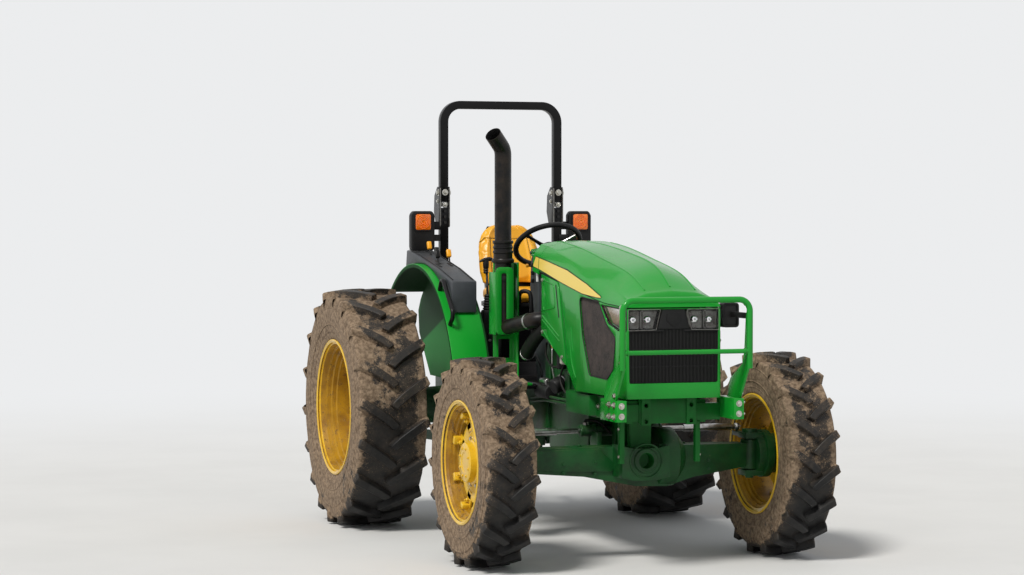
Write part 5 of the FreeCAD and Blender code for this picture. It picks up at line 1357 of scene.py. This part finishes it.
def ring_pad(levels, axis, bolster, power=4.5, count=56):
    """A closed form through levels of (place, half width, near, far), with bolsters on the far side."""
    part = bmesh.new()
    rows = []
    for place, half, near, far in levels:
        row = []
        for i in range(count):
            turn = math.tau * i / count
            wide = math.copysign(abs(math.cos(turn)) ** (2 / power), math.cos(turn))
            deep = math.copysign(abs(math.sin(turn)) ** (2 / power), math.sin(turn))
            other = (near + far) / 2 + (far - near) / 2 * deep
            if deep > 0:
                rise = min(1.0, max(0.0, (abs(wide) - 0.52) / 0.26))
                other += bolster * (rise - 0.4) * deep * (1 if far > near else -1)
            row.append(part.verts.new((half * wide, other, place) if axis == "Z" else (half * wide, place,
                                                                                       other)))
        rows.append(row)
    skinned(part, rows, around=True)
    return part


def modified_mesh(piece):
    return bpy.data.meshes.new_from_object(piece.evaluated_get(bpy.context.evaluated_depsgraph_get()))


def swollen(name, shape, cap):
    """A pad's form after its cover has been blown up a little and held to a limit."""
    piece = shown(name, mesh_of(name, shape))
    remesh = piece.modifiers.new("even", "REMESH")
    remesh.mode = "VOXEL"
    remesh.voxel_size = 0.006
    piece.data = modified_mesh(piece)
    piece.modifiers.clear()
    start = [v.co.copy() for v in piece.data.vertices]
    cloth = piece.modifiers.new("swell", "CLOTH")
    cloth.settings.use_pressure = True
    cloth.settings.uniform_pressure_force = 4.0
    cloth.settings.effector_weights.gravity = 0.0
    cloth.point_cache.frame_start = 1
    cloth.point_cache.frame_end = CLOTH_STEPS
    for number in range(1, CLOTH_STEPS + 1):
        scene.frame_set(number)
    blown = modified_mesh(piece)
    ends = [v.co.copy() for v in blown.vertices]
    piece.modifiers.clear()
    scene.frame_set(1)
    for vert, before, after in zip(piece.data.vertices, start, ends):
        move = after - before
        if move.length > cap:
            move *= cap / move.length
        vert.co = before + move
    bpy.data.meshes.remove(blown)
    finer = piece.modifiers.new("finer", "SUBSURF")
    finer.levels = 1
    finer.render_levels = 1
    piece.data = modified_mesh(piece)
    piece.modifiers.clear()
    return piece


def sewn(piece, runs, way, depth=0.0042, reach=0.0055):
    """Presses seams into a pad along runs and returns the thread's paths; way is where the runs are cast."""
    shape = bmesh.new()
    shape.from_mesh(piece.data)
    shape.normal_update()
    tree = BVHTree.FromBMesh(shape)
    paths = []
    for run in runs:
        path = []
        for spot in flowing(run, 14):
            hit = tree.ray_cast(Vector(spot) - Vector(way) * 0.5, way)
            if hit[0] is not None:
                path.append(hit[0])
        paths.append(path)
    spots = [p for path in paths for p in path]
    near = KDTree(len(spots))
    for i, spot in enumerate(spots):
        near.insert(spot, i)
    near.balance()
    moves = []
    for vert in shape.verts:
        distance = near.find(vert.co)[2]
        if distance < reach * 3:
            moves.append((vert, -vert.normal * depth * math.exp(-(distance / reach) ** 2)))
    for vert, move in moves:
        vert.co += move
    shape.to_mesh(piece.data)
    shape.free()
    inward = Vector(way) * (depth * 0.75)
    return [[p + inward for p in path] for path in paths]


def dress_pad(piece, node):
    piece.data.materials.clear()
    piece.data.materials.append(seat_vinyl)
    piece.data.shade_smooth()
    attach(piece, "chassis")
    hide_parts(node)


def make_seat():
    low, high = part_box("seat_back")
    margin = 0.008
    # share of the height, half width, front and rear of the back
    back_levels = [
        (low.z + margin + (high.z - low.z - 2 * margin) * share, half - margin, rear - margin, front + margin)
        for share, half, front, rear in (
            (0.00, 0.188, 0.990, 1.044), (0.03, 0.202, 0.988, 1.050), (0.20, 0.214, 1.006, 1.074),
            (0.40, 0.214, 1.030, 1.102), (0.56, 0.208, 1.054, 1.124), (0.70, 0.197, 1.078, 1.140),
            (0.82, 0.180, 1.094, 1.150), (0.91, 0.152, 1.103, 1.155), (0.97, 0.122, 1.110, 1.157),
            (1.00, 0.095, 1.118, 1.152))]
    back = swollen("seat_back_pad", ring_pad(back_levels, "Z", 0.022), 0.012)
    # how far behind the cushion's front, half width, underside and top
    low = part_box("seat_cushion")[0]
    cushion_levels = [
        (low.y + behind, half - margin, under + margin, over - margin)
        for behind, half, under, over in (
            (0.004, 0.190, 1.352, 1.396), (0.020, 0.212, 1.342, 1.412), (0.060, 0.222, 1.337, 1.424),
            (0.190, 0.225, 1.336, 1.427), (0.320, 0.222, 1.336, 1.429), (0.362, 0.210, 1.338, 1.427),
            (0.378, 0.190, 1.346, 1.418))]
    cushion = swollen("seat_cushion_pad", ring_pad(cushion_levels, "Y", 0.016), 0.010)
    up_back = [(0.118, 0.9, 1.716), (0.128, 0.9, 1.600), (0.132, 0.9, 1.460)]
    shoulder = [(0.185, 0.9, 1.690), (0.150, 0.9, 1.720)]
    paths = sewn(back, [
        [(-0.150, 0.9, 1.720), (0.0, 0.9, 1.712), (0.150, 0.9, 1.720)], on_side(RIGHT, up_back), up_back,
        on_side(RIGHT, shoulder), shoulder], (0, 1, 0))
    paths += sewn(cushion, [
        [(-0.130, 0.650, 1.5), (-0.136, 0.800, 1.5), (-0.134, 0.960, 1.5)],
        [(0.130, 0.650, 1.5), (0.136, 0.800, 1.5), (0.134, 0.960, 1.5)],
        [(-0.134, 0.760, 1.5), (0.0, 0.752, 1.5), (0.134, 0.760, 1.5)]], (0, 0, -1))
    dress_pad(back, "seat_back")
    dress_pad(cushion, "seat_cushion")
    thread = bmesh.new()
    for path in paths:
        if len(path) > 2:
            pipe(thread, path, 0.0016, 2)
    # the black shell behind the back: half width, place and height at each of its three levels
    shell = bmesh.new()
    levels = ((0.165, 1.050, 1.440), (0.165, 1.146, 1.700), (0.115, 1.158, 1.790))
    for (foot, y, z), (top, y_top, z_top) in zip(levels, levels[1:]):
        part = bmesh.new()
        for spot in ((-foot, y, z), (foot, y, z), (top, y_top, z_top), (-top, y_top, z_top)):
            part.verts.new(spot)
        part.faces.new(part.verts)
        bmesh.ops.solidify(part, geom=part.faces[:], thickness=0.006)
        faced_out(part)
        join(shell, part)
    finished("seat_thread", thread, [thread_dark], "chassis")
    finished("seat_shell", shell, [black_plastic], "chassis")


make_seat()


# Driver's place
def dash_details(shape):
    """A bezel with gauges, switches, the column's shroud rings and a pale reflector strip."""
    pivot = joint_place("hood_tilt")
    tilt = Matrix.Translation((0, pivot.y + 0.052, 1.628)) @ Matrix.Rotation(math.radians(-68), 4, "X")
    part = bmesh.new()
    plate(part, rounded([(-0.150, -0.040), (0.150, -0.040), (0.138, 0.040), (-0.138, 0.040)], 0.016), 0.010,
          Matrix.Identity(4), (), 0.003, 1)
    for x, radius in ((-0.082, 0.026), (0.0, 0.032), (0.082, 0.026)):
        bar(part, (x, 0, 0.009), (x, 0, 0.013), radius, sides=40, bevel=0.001, paint=2)
        bar(part, (x, 0, 0.012), (x, 0, 0.0142), radius * 0.86, sides=40, paint=3)
        block(part, (x - 0.001, 0, 0.0142), (x + 0.001, radius * 0.7, 0.0155), 0.0, paint=4)
    moved(part, tilt)
    join(shape, part)
    for side in (LEFT, RIGHT):
        for drop in (0.0, 0.045, 0.090):
            block(shape, (side * 0.181 - 0.008, pivot.y + 0.010, 1.560 - drop), (side * 0.181 + 0.008,
                  pivot.y + 0.034, 1.584 - drop), 0.003, paint=1)
        block(shape, (side * 0.2665 - 0.004, -0.245, 1.486), (side * 0.2665 + 0.004, -0.222, 1.560), 0.001,
              paint=4)
    for share in (0.10, 0.16, 0.22):
        y = 0.354 - math.sin(math.radians(38)) * (share + 0.03)
        z = 1.687 - math.cos(math.radians(38)) * (share + 0.03)
        way = Vector((0, math.sin(math.radians(38)), math.cos(math.radians(38))))
        bar(shape, Vector((0, y, z)), Vector((0, y, z)) + way * 0.012, 0.046, sides=36, bevel=0.002, paint=1)
    # a stalk on each side of the column
    for side, y, z in ((LEFT, 0.262, 1.560), (RIGHT, 0.250, 1.545)):
        pipe(shape, route([(side * 0.03, y, z), (side * 0.10, y + 0.01, z + 0.012),
                           (side * 0.150, y + 0.02, z + 0.02)],
                          0.02, 4), 0.005, 3, 1)
        ball(shape, (side * 0.155, y + 0.021, z + 0.021), 0.011, 5)


def make_steering_wheel():
    shape = bmesh.new()
    spun(shape, ring(0, 0.191, 0.0155, 0.0165, 20), (0, 0, 0), "Z", 96, 0, True)
    for degrees, paint in ((90, 0), (210, 0), (330, 1)):
        turn = math.radians(degrees)
        way = Vector((math.cos(turn), math.sin(turn), 0))
        side = Vector((-way.y, way.x, 0))
        part = bmesh.new()
        rows = []
        for out, z, half in ((0.028, -0.026, 0.017), (0.070, -0.020, 0.011), (0.120, -0.010, 0.009),
                             (0.165, -0.001, 0.010), (0.184, 0.001, 0.014)):
            rows.append([part.verts.new(way * out + side * half * a + Vector((0, 0, z + 0.005 * b)))
                         for a, b in ((-1, -1), (1, -1), (1, 1), (-1, 1))])
        skinned(part, rows, around=True)
        soften(part, sharp_edges(part, 40), 0.002)
        join(shape, part, paint)
    spun(shape, [(-0.036, 0.0), (-0.036, 0.040), (-0.016, 0.043), (-0.006, 0.036), (0.0, 0.022),
                 (0.001, 0.0)],
         (0, 0, 0), "Z", 48)
    bar(shape, (0, 0, -0.0005), (0, 0, 0.0018), 0.016, sides=32, bevel=0.0005, paint=2)
    matrix = Matrix.Translation((0, 0.354, 1.687)) @ Matrix.Rotation(math.radians(-38), 4, "X")
    moved(shape, matrix)
    finished("steering_wheel_skin", shape, [black_plastic, bare_steel, charcoal_plastic], "hand_wheel",
             ("steering_wheel",), 36.0)


def console_details(shape):
    """Levers with coloured knobs, their slots, and the panel lines of the consoles."""
    for side in (LEFT, RIGHT):
        for x, y, z, paint in ((0.500, 1.080, 1.600, 2), (0.468, 0.780, 1.556, 2), (0.520, 0.860, 1.568, 1),
                               (0.545, 0.760, 1.552, 3)):
            x *= side
            lean = Vector((0.0, 0.022, 0.052))
            base = Vector((x, y, z))
            block(shape, (x - 0.008, y - 0.045, z - 0.006), (x + 0.008, y + 0.055, z + 0.012), 0.003, paint=1,
                  turn=Matrix.Rotation(math.radians(9.8), 4, "X"))
            bar(shape, base, base + lean, 0.0045, sides=12, paint=1)
            part = bmesh.new()
            block(part, (-0.014, -0.012, 0.0), (0.014, 0.012, 0.050), 0.007, 3, None, paint)
            moved(part, Matrix.Translation(base + lean) @ Matrix.Rotation(-0.4, 4, "X"))
            join(shape, part)
        block(shape, (side * 0.436 - 0.006, 0.640, 1.470), (side * 0.436 + 0.006, 0.676, 1.535), 0.004,
              paint=2)
        # a lid line and a ridge along the arm rest
        for x in (0.446, 0.569):
            line = [(side * x, 1.300, 1.650), (side * x, 1.138, 1.6265), (side * x, 0.682, 1.5478),
                    (side * x, 0.400, 1.4835)]
            pipe(shape, route([Vector(p) for p in line], 0.02, 4), 0.0030, 2, 1)
        for y, z in ((0.560, 1.420), (0.760, 1.500), (0.980, 1.520)):
            bolt(shape, (side * 0.585, y, z), (side, 0, 0), 0.007, 1)


def make_gear_lever():
    shape = bmesh.new()
    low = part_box("gear_lever")[0]
    x, y = -0.300, 0.575
    # a tapered box, the bellows on it, the bent stick and a grip like a pistol's
    part = bmesh.new()
    rows = []
    for z, half_x, half_y in ((low.z, 0.045, 0.045), (low.z + 0.30, 0.040, 0.042),
                              (low.z + 0.385, 0.034, 0.036),
                              (low.z + 0.400, 0.028, 0.030)):
        rows.append([part.verts.new((x + half_x * a, y + half_y * b, z)) for a,
                     b in ((-1, -1), (1, -1), (1, 1), (-1, 1))])
    skinned(part, rows, around=True)
    soften(part, part.edges[:], 0.006)
    join(shape, part)
    bellows = [(low.z + 0.398, 0.0)]
    for i in range(6):
        bellows += [(low.z + 0.400 + i * 0.015, 0.024 - i * 0.0016),
                    (low.z + 0.4075 + i * 0.015, 0.031 - i * 0.002)]
    bellows += [(low.z + 0.492, 0.012), (low.z + 0.492, 0.0)]
    spun(shape, bellows, (x, y, 0), "Z", 28)
    stick = route([Vector((x, y, low.z + 0.48)), Vector((x, y + 0.004, low.z + 0.54)),
                   Vector((x + 0.010, y + 0.044, low.z + 0.60)),
                   Vector((x + 0.006, y + 0.050, low.z + 0.66))], 0.03, 5)
    pipe(shape, stick, 0.0075, 4)
    grip_x, grip_y = x + 0.006, y + 0.050
    spun(shape, [(1.512, 0.0), (1.512, 0.012), (1.520, 0.016), (1.527, 0.0135), (1.534, 0.0165),
                 (1.541, 0.014),
                 (1.549, 0.0175), (1.575, 0.0185), (1.592, 0.017), (1.600, 0.0)], (grip_x, grip_y, 0), "Z",
                 24)
    crown = bmesh.new()
    rows = []
    for place, z, half_y, half_z in ((-0.334, 1.584, 0.006, 0.005), (-0.322, 1.590, 0.011, 0.009),
                                     (-0.300, 1.596, 0.0135, 0.0125), (-0.276, 1.599, 0.0135, 0.013),
                                     (-0.259, 1.598, 0.011, 0.011), (-0.251, 1.596, 0.006, 0.006)):
        rows.append([crown.verts.new((place, grip_y + half_y * math.cos(a), z + half_z * math.sin(a)))
                     for a in (math.tau * i / 14 for i in range(14))])
    skinned(crown, rows, around=True)
    join(shape, crown)
    for z in (1.12, 1.16):
        bolt(shape, (x, y - 0.0425, z), (0, -1, 0), 0.006, 1)
    finished("gear_lever_skin", shape, [black_plastic, zinc], "chassis", ("gear_lever",),
             34.0)


make_steering_wheel()
make_gear_lever()
refined("dash", [charcoal_plastic, black_plastic, bare_steel, deep_black, white_strip, lever_orange], 0.008,
        dash_details)
refined("consoles", [charcoal_plastic, black_plastic, lever_orange, black_paint], 0.008, console_details)


# Engine, front end and axle details
STEEL, BLACK, HOSE, RED, PALE, ORANGE = 1, 2, 3, 4, 5, 6


def hoses(shape, runs, paint):
    for radius, points in runs:
        pipe(shape, flowing(points, 7), radius, 3, paint)


def clamp_rings(shape, points, radius, paint):
    """A clamp at each end of a hose."""
    for here, there in ((points[0], points[1]), (points[-1], points[-2])):
        here, there = Vector(here), Vector(there)
        way = (there - here).normalized()
        bar(shape, here + way * 0.010, here + way * 0.022, radius + 0.0025, sides=28, bevel=0.001,
            paint=paint)


def filter_can(shape, start, end, radius, paint, cap_paint):
    start, end = Vector(start), Vector(end)
    way = (end - start).normalized()
    bar(shape, start, start + way * 0.016, radius * 1.12, sides=36, bevel=0.003, paint=cap_paint)
    bar(shape, start + way * 0.015, end, radius, sides=36, bevel=radius * 0.25, paint=paint)


def engine_details(shape):
    """What the open sides show: filters, pump, lines, alternator, starter, fan and hoses."""
    for side in (RIGHT, LEFT):
        face = side * 0.190
        filter_can(shape, (face, -0.470, 0.935), (side * 0.262, -0.486, 0.905), 0.043, BLACK, STEEL)
        filter_can(shape, (side * 0.232, -0.615, 1.165), (side * 0.232, -0.615, 1.040), 0.033, PALE, BLACK)
        bar(shape, (side * 0.232, -0.615, 1.165), (side * 0.232, -0.615, 1.192), 0.014, sides=6, paint=RED)
        filter_can(shape, (side * 0.228, -0.535, 1.150), (side * 0.228, -0.535, 1.010), 0.028, BLACK, STEEL)
        # starter with its solenoid
        bar(shape, (side * 0.228, -0.380, 0.870), (side * 0.228, -0.180, 0.870), 0.042, sides=32,
            bevel=0.005, paint=BLACK)
        bar(shape, (side * 0.238, -0.350, 0.925), (side * 0.238, -0.240, 0.925), 0.022, sides=24,
            bevel=0.003, paint=STEEL)
        # injection pump and its lines
        block(shape, (side * 0.222 - 0.030, -0.800, 0.985), (side * 0.222 + 0.030, -0.690, 1.075), 0.010,
              paint=STEEL)
        bar(shape, (side * 0.222, -0.840, 1.030), (side * 0.222, -0.800, 1.030), 0.036, sides=28,
            bevel=0.004, paint=0)
        for i in range(4):
            y = -0.780 + i * 0.026
            end_y = -0.850 + i * 0.170
            hoses(shape, ((0.0035, [(side * 0.222, y, 1.072), (side * 0.236, y + 0.004, 1.120),
                                    (side * (0.205 - 0.004 * i), (y + end_y) / 2, 1.190 + 0.008 * i),
                                    (side * 0.150, end_y, 1.235)]),), STEEL)
            bolt(shape, (side * 0.133, end_y, 1.262), (side, 0, 0.3), 0.010, STEEL)
        # the dipstick's tube and ring
        hoses(shape, ((0.005, [(side * 0.200, -0.420, 0.860), (side * 0.240, -0.425, 0.990),
                               (side * 0.246, -0.430, 1.120)]),), STEEL)
        ring = [(side * 0.246, -0.430 + 0.013 * math.sin(a), 1.136 + 0.013 * math.cos(a))
                for a in (math.tau * i / 16 for i in range(17))]
        pipe(shape, [Vector(p) for p in ring], 0.0028, 2, ORANGE)
        # casting ribs, side cover and its bolts
        for y in (-0.90, -0.74, -0.58, -0.42, -0.26):
            block(shape, (min(face, face + side * 0.014), y - 0.010, 0.815),
                  (max(face, face + side * 0.014), y + 0.010, 1.170), 0.005)
        block(shape, (min(face, face + side * 0.010), -0.560, 0.850),
              (max(face, face + side * 0.010), -0.300, 1.000), 0.006)
        for y in (-0.945, -0.820, -0.660, -0.500, -0.340, -0.185):
            for z in (0.812, 1.172):
                bolt(shape, (face, y, z), (side, 0, 0), 0.008, STEEL)
        # rail lines and the harness
        hoses(shape, ((0.008, [(side * 0.215, -1.050, 0.840), (side * 0.232, -0.700, 0.826),
                               (side * 0.232, -0.300, 0.820),
                               (side * 0.205, 0.050, 0.790)]),
                      (0.008, [(side * 0.215, -1.050, 0.862), (side * 0.236, -0.700, 0.846),
                               (side * 0.236, -0.300, 0.842),
                               (side * 0.205, 0.050, 0.812)])), 0)
        hoses(shape, ((0.009, [(side * 0.150, -0.960, 1.330), (side * 0.215, -0.700, 1.290),
                               (side * 0.222, -0.400, 1.250),
                               (side * 0.205, -0.255, 1.180)]),
                      (0.006, [(side * 0.232, -0.615, 1.060), (side * 0.244, -0.560, 0.960),
                               (side * 0.236, -0.640, 0.880),
                               (side * 0.205, -0.760, 0.860)]),
                      (0.006, [(side * 0.228, -0.535, 1.030), (side * 0.252, -0.450, 1.020),
                               (side * 0.248, -0.330, 1.080),
                               (side * 0.215, -0.250, 1.140)])), HOSE)
        # radiator hoses
        upper = [(side * 0.090, -0.940, 1.300), (side * 0.120, -1.080, 1.330), (side * 0.130, -1.230, 1.345),
                 (side * 0.130, -1.335, 1.350)]
        lower = [(side * 0.150, -0.985, 0.900), (side * 0.175, -1.090, 0.930), (side * 0.170, -1.230, 0.955),
                 (side * 0.165, -1.338, 0.960)]
        run = upper if side == RIGHT else lower
        hoses(shape, ((0.024, run),), HOSE)
        clamp_rings(shape, run, 0.024, STEEL)
    # rocker cover and its filler
    block(shape, (-0.095, -0.900, 1.322), (0.095, -0.290, 1.352), 0.014, 3)
    bar(shape, (0.0, -0.500, 1.350), (0.0, -0.500, 1.376), 0.026, sides=24, bevel=0.004, paint=BLACK)
    # alternator, pulleys, belt and fan
    for x, z, radius in ((-0.165, 1.130, 0.052), (0.0, 1.080, 0.060), (0.0, 0.880, 0.080),
                         (0.150, 1.110, 0.048)):
        spun(shape, [(-0.012, 0.0), (-0.012, radius), (-0.005, radius - 0.004), (0.005, radius - 0.004),
                     (0.012, radius), (0.012, 0.0)], (x, -1.000, z), "Y", 40, BLACK)
    belt = rounded([(-0.230, 1.170), (-0.165, 1.190), (0.165, 1.168), (0.205, 1.085), (0.085, 0.825),
                    (-0.085, 0.825)], 0.05, 6)
    belt_line = [Vector((x, -1.000, z)) for x, z in belt]
    pipe(shape, belt_line + [belt_line[0]], 0.005, 2, BLACK)
    bar(shape, (-0.165, -0.985, 1.130), (-0.165, -0.880, 1.130), 0.055, sides=36, bevel=0.006, paint=STEEL)
    for i in range(7):
        turn = math.tau * i / 7
        part = bmesh.new()
        block(part, (-0.035, -0.002, 0.045), (0.035, 0.002, 0.205), 0.001)
        matrix = (Matrix.Translation((0, -1.085, 1.110)) @ Matrix.Rotation(turn, 4, "Y")
                  @ Matrix.Rotation(math.radians(32), 4, "Z"))
        moved(part, matrix)
        join(shape, part, BLACK)
    bar(shape, (0, -1.110, 1.110), (0, -1.000, 1.110), 0.050, sides=32, bevel=0.005, paint=BLACK)
    # the intake: a wide hose and the bent tube beside the stack's channel
    intake = [(-0.150, -0.560, 1.300), (-0.205, -0.420, 1.262), (-0.252, -0.285, 1.215),
              (-0.268, -0.120, 1.120),
              (-0.262, -0.030, 1.060)]
    hoses(shape, ((0.040, intake),), HOSE)
    clamp_rings(shape, intake, 0.040, STEEL)
    bent = route([Vector((-0.277, 0.060, 1.300)), Vector((-0.277, 0.052, 1.425)),
                  Vector((-0.225, 0.010, 1.425)),
                  Vector((-0.215, -0.010, 1.180))], 0.045, 6)
    pipe(shape, bent, 0.0125, 4, BLACK)


def guard_details(shape):
    """Bolts, washers and the joints' beads on the front guard."""
    for side in (LEFT, RIGHT):
        outer = side * 0.3505
        for y, z in ((-1.788, 1.392), (-1.786, 1.112), (-1.690, 0.940)):
            bolt(shape, (outer, y, z), (side, 0, 0), 0.0105, 1)
        for y, z in ((-1.690, 0.892), (-1.620, 0.892), (-1.690, 0.832), (-1.620, 0.832)):
            bolt(shape, (side * 0.3525, y, z), (side, 0, 0), 0.012, 1)
            bar(shape, (side * 0.3525, y, z), (side * 0.372, y, z), 0.0055, sides=10, paint=1)
        for z in (0.835, 0.888):
            bolt(shape, (side * 0.325, -1.7255, z), (0, -1, 0), 0.011, 1)
        for z in (1.414, 1.164):
            bar(shape, (side * 0.350 - side * 0.030, -1.804, z), (side * 0.350 - side * 0.024, -1.804, z),
                0.0165,
                sides=20, bevel=0.001)


def support_details(shape):
    for side in (LEFT, RIGHT):
        for dz in (-0.0415, 0.0415):
            wire = ring(0, 0.0130, 0.0016, 0.0018, 8)
            spun(shape, wire, (side * 0.126, -1.5625, 0.834 + dz), "Y", 28, 0, True)
        for y in (-1.500, -1.380, -1.240, -1.100, -0.960, -0.820):
            bolt(shape, (side * 0.220, y, 0.842 if y > -1.45 else 0.860), (side, 0, 0), 0.012, 1)
        for z in (0.600, 0.745):
            bolt(shape, (side * 0.226, -1.425, z), (side, 0, 0), 0.007, 1)
    block(shape, (-0.158, -1.5275, 0.903), (0.158, -1.5215, 0.9175), 0.002)


def axle_details(shape):
    """Rings, bolts, grease fittings and the steering cylinder's hoses on the front axle."""
    pivot = joint_place("axle_rock")
    collar = [(-0.0062, 0.0435), (-0.0062, 0.060), (0.0, 0.060), (0.0, 0.0435)]
    spun(shape, collar, (0, -1.2405, pivot.z), "Y", 48, 0, True)
    for radius, thick in ((0.060, 0.008), (0.090, 0.005)):
        spun(shape, ring(0, radius, thick, thick, 12), (0, -1.2405, pivot.z), "Y", 48, 0, True)
    # the forged arm's flat face ends in a wedge
    wedge = [(-0.610, 0.512), (-0.610, 0.614), (-0.215, 0.616), (-0.110, 0.515), (-0.150, 0.490),
             (-0.450, 0.496)]
    plate(shape, rounded(wedge, 0.008), 0.014, facing("Y", -1.108), (), 0.004)
    for side in (LEFT, RIGHT):
        for x, z in ((0.24, 0.545), (0.24, 0.480), (0.42, 0.535), (0.42, 0.490)):
            bolt(shape, (side * x, -1.0955 if side == LEFT else -1.108, z), (0, -1, 0), 0.007, 0)
        bolt(shape, (side * 0.30, -1.025, 0.6235), (0, 0, 1), 0.009, 0)
        # fittings and hoses of the steering cylinder, which leave room for the axle to rock
        bar(shape, (side * 0.205, -0.850, 0.718), (side * 0.205, -0.850, 0.736), 0.012, sides=6, paint=2)
        hoses(shape, ((0.008, [(side * 0.205, -0.850, 0.736), (side * 0.198, -0.860, 0.748),
                               (side * 0.150, -0.888, 0.744), (side * 0.112, -0.900, 0.715),
                               (side * 0.100, -0.960, 0.685)]),), 3)
        for x in (0.225, 0.150):
            bar(shape, (side * x - 0.006, -0.850, 0.692), (side * x + 0.006, -0.850, 0.692), 0.0345, sides=36,
                bevel=0.002, paint=0)


def panel_details(shape):
    """The raised outlines on the fixed side panels, and a dark line as painted shade in their slot."""
    for outline, closed, radius, paint in (
            (rounded([(-0.385, 1.503), (-0.560, 1.478), (-0.592, 1.352), (-0.385, 1.330)], 0.030), True,
             0.0032, 0),
            ([(-0.372, 1.300), (-0.655, 1.196)], False, 0.0036, 0),
            ([(-0.372, 1.278), (-0.662, 1.170)], False, 0.0030, 0),
            ([(-0.390, 1.215), (-0.560, 1.128)], False, 0.0030, 0),
            ([(-0.600, 1.478), (-0.652, 1.300)], False, 0.0042, 1)):
        edge_strip(shape, outline, lambda y: 0.2843, radius, paint, closed)
    for y, z in ((-0.372, 1.210), (-0.372, 1.500), (-0.700, 1.085)):
        for side in (LEFT, RIGHT):
            bolt(shape, (side * 0.284, y, z), (side, 0, 0), 0.008, 2)


def platform_details(shape):
    """Raised ribs on the steps and a studded mat on the floor."""
    for side in (LEFT, RIGHT):
        for z, reach in ((0.580, 0.545), (0.742, 0.505)):
            for i in range(7):
                y = -0.185 + i * 0.042
                low, high = sorted((side * 0.404, side * reach))
                block(shape, (low, y - 0.004, z), (high, y + 0.004, z + 0.004), 0.0015, 1)
        for i in range(9):
            x = side * (0.215 + 0.018 * i)
            block(shape, (x - 0.003, -0.120, 0.900), (x + 0.003, 0.600, 0.9035), 0.001, 1, None, 1)
    # pedals: two on the right, one on the left
    for x, width in ((-0.175, 0.030), (-0.110, 0.030), (0.170, 0.034)):
        pipe(shape, route([Vector((x, -0.070, 0.905)), Vector((x, -0.030, 1.000)),
                           Vector((x, 0.060, 1.060))], 0.03, 4),
             0.008, 3)
        block(shape, (x - width, 0.045, 1.052), (x + width, 0.110, 1.068), 0.004, 2,
              Matrix.Rotation(0.5, 4, "X"), 1)


refined("engine_block", [casting_green, bare_steel, black_plastic, rubber_hose, red_cap, pale_plastic,
                         lever_orange],
        0.006, engine_details)
refined("brush_guard", [green_paint, zinc], 0.002, guard_details)
refined("front_support", [support_green_shaded, zinc], 0.003, support_details)
refined("axle_beam", [casting_green, zinc, bare_steel, rubber_hose], 0.006, axle_details)
refined("side_panels", [green_paint, black_plastic, zinc], 0.002, panel_details)
refined("platform", [black_paint, charcoal_plastic], 0.002, platform_details)


# Carried-over nodes with softened edges
for node, material, bevel in (
        ("knuckle_left", casting_green, 0.005),
        ("knuckle_right", casting_green, 0.005), ("tie_rods", bare_steel, 0.002),
        ("radiator", black_paint, 0.004),
        ("transmission", casting_green, 0.008), ("rear_axle_housing", casting_green, 0.006),
        ("front_driveshaft", casting_green, 0.004), ("seat_base", black_paint, 0.004),
        ("fender_left", fender_green, 0.002), ("fender_right", fender_green, 0.002),
        ("grab_handles", black_paint, 0.001),
        ("rops_hoop", black_paint, 0.005),
        ("lower_links", casting_green, 0.004), ("link_brackets", casting_green, 0.003),
        ("lift_arms", casting_green, 0.004),
        ("lift_rods", casting_green, 0.002), ("drawbar", casting_green, 0.003),
        ("hitch_bracket", casting_green, 0.003), ("pto_shaft", bare_steel, 0.001)):
    refined(node, material, bevel)
refined("rops_posts", [black_paint, zinc, deep_black, hinge_grey], 0.003, hinge_details)
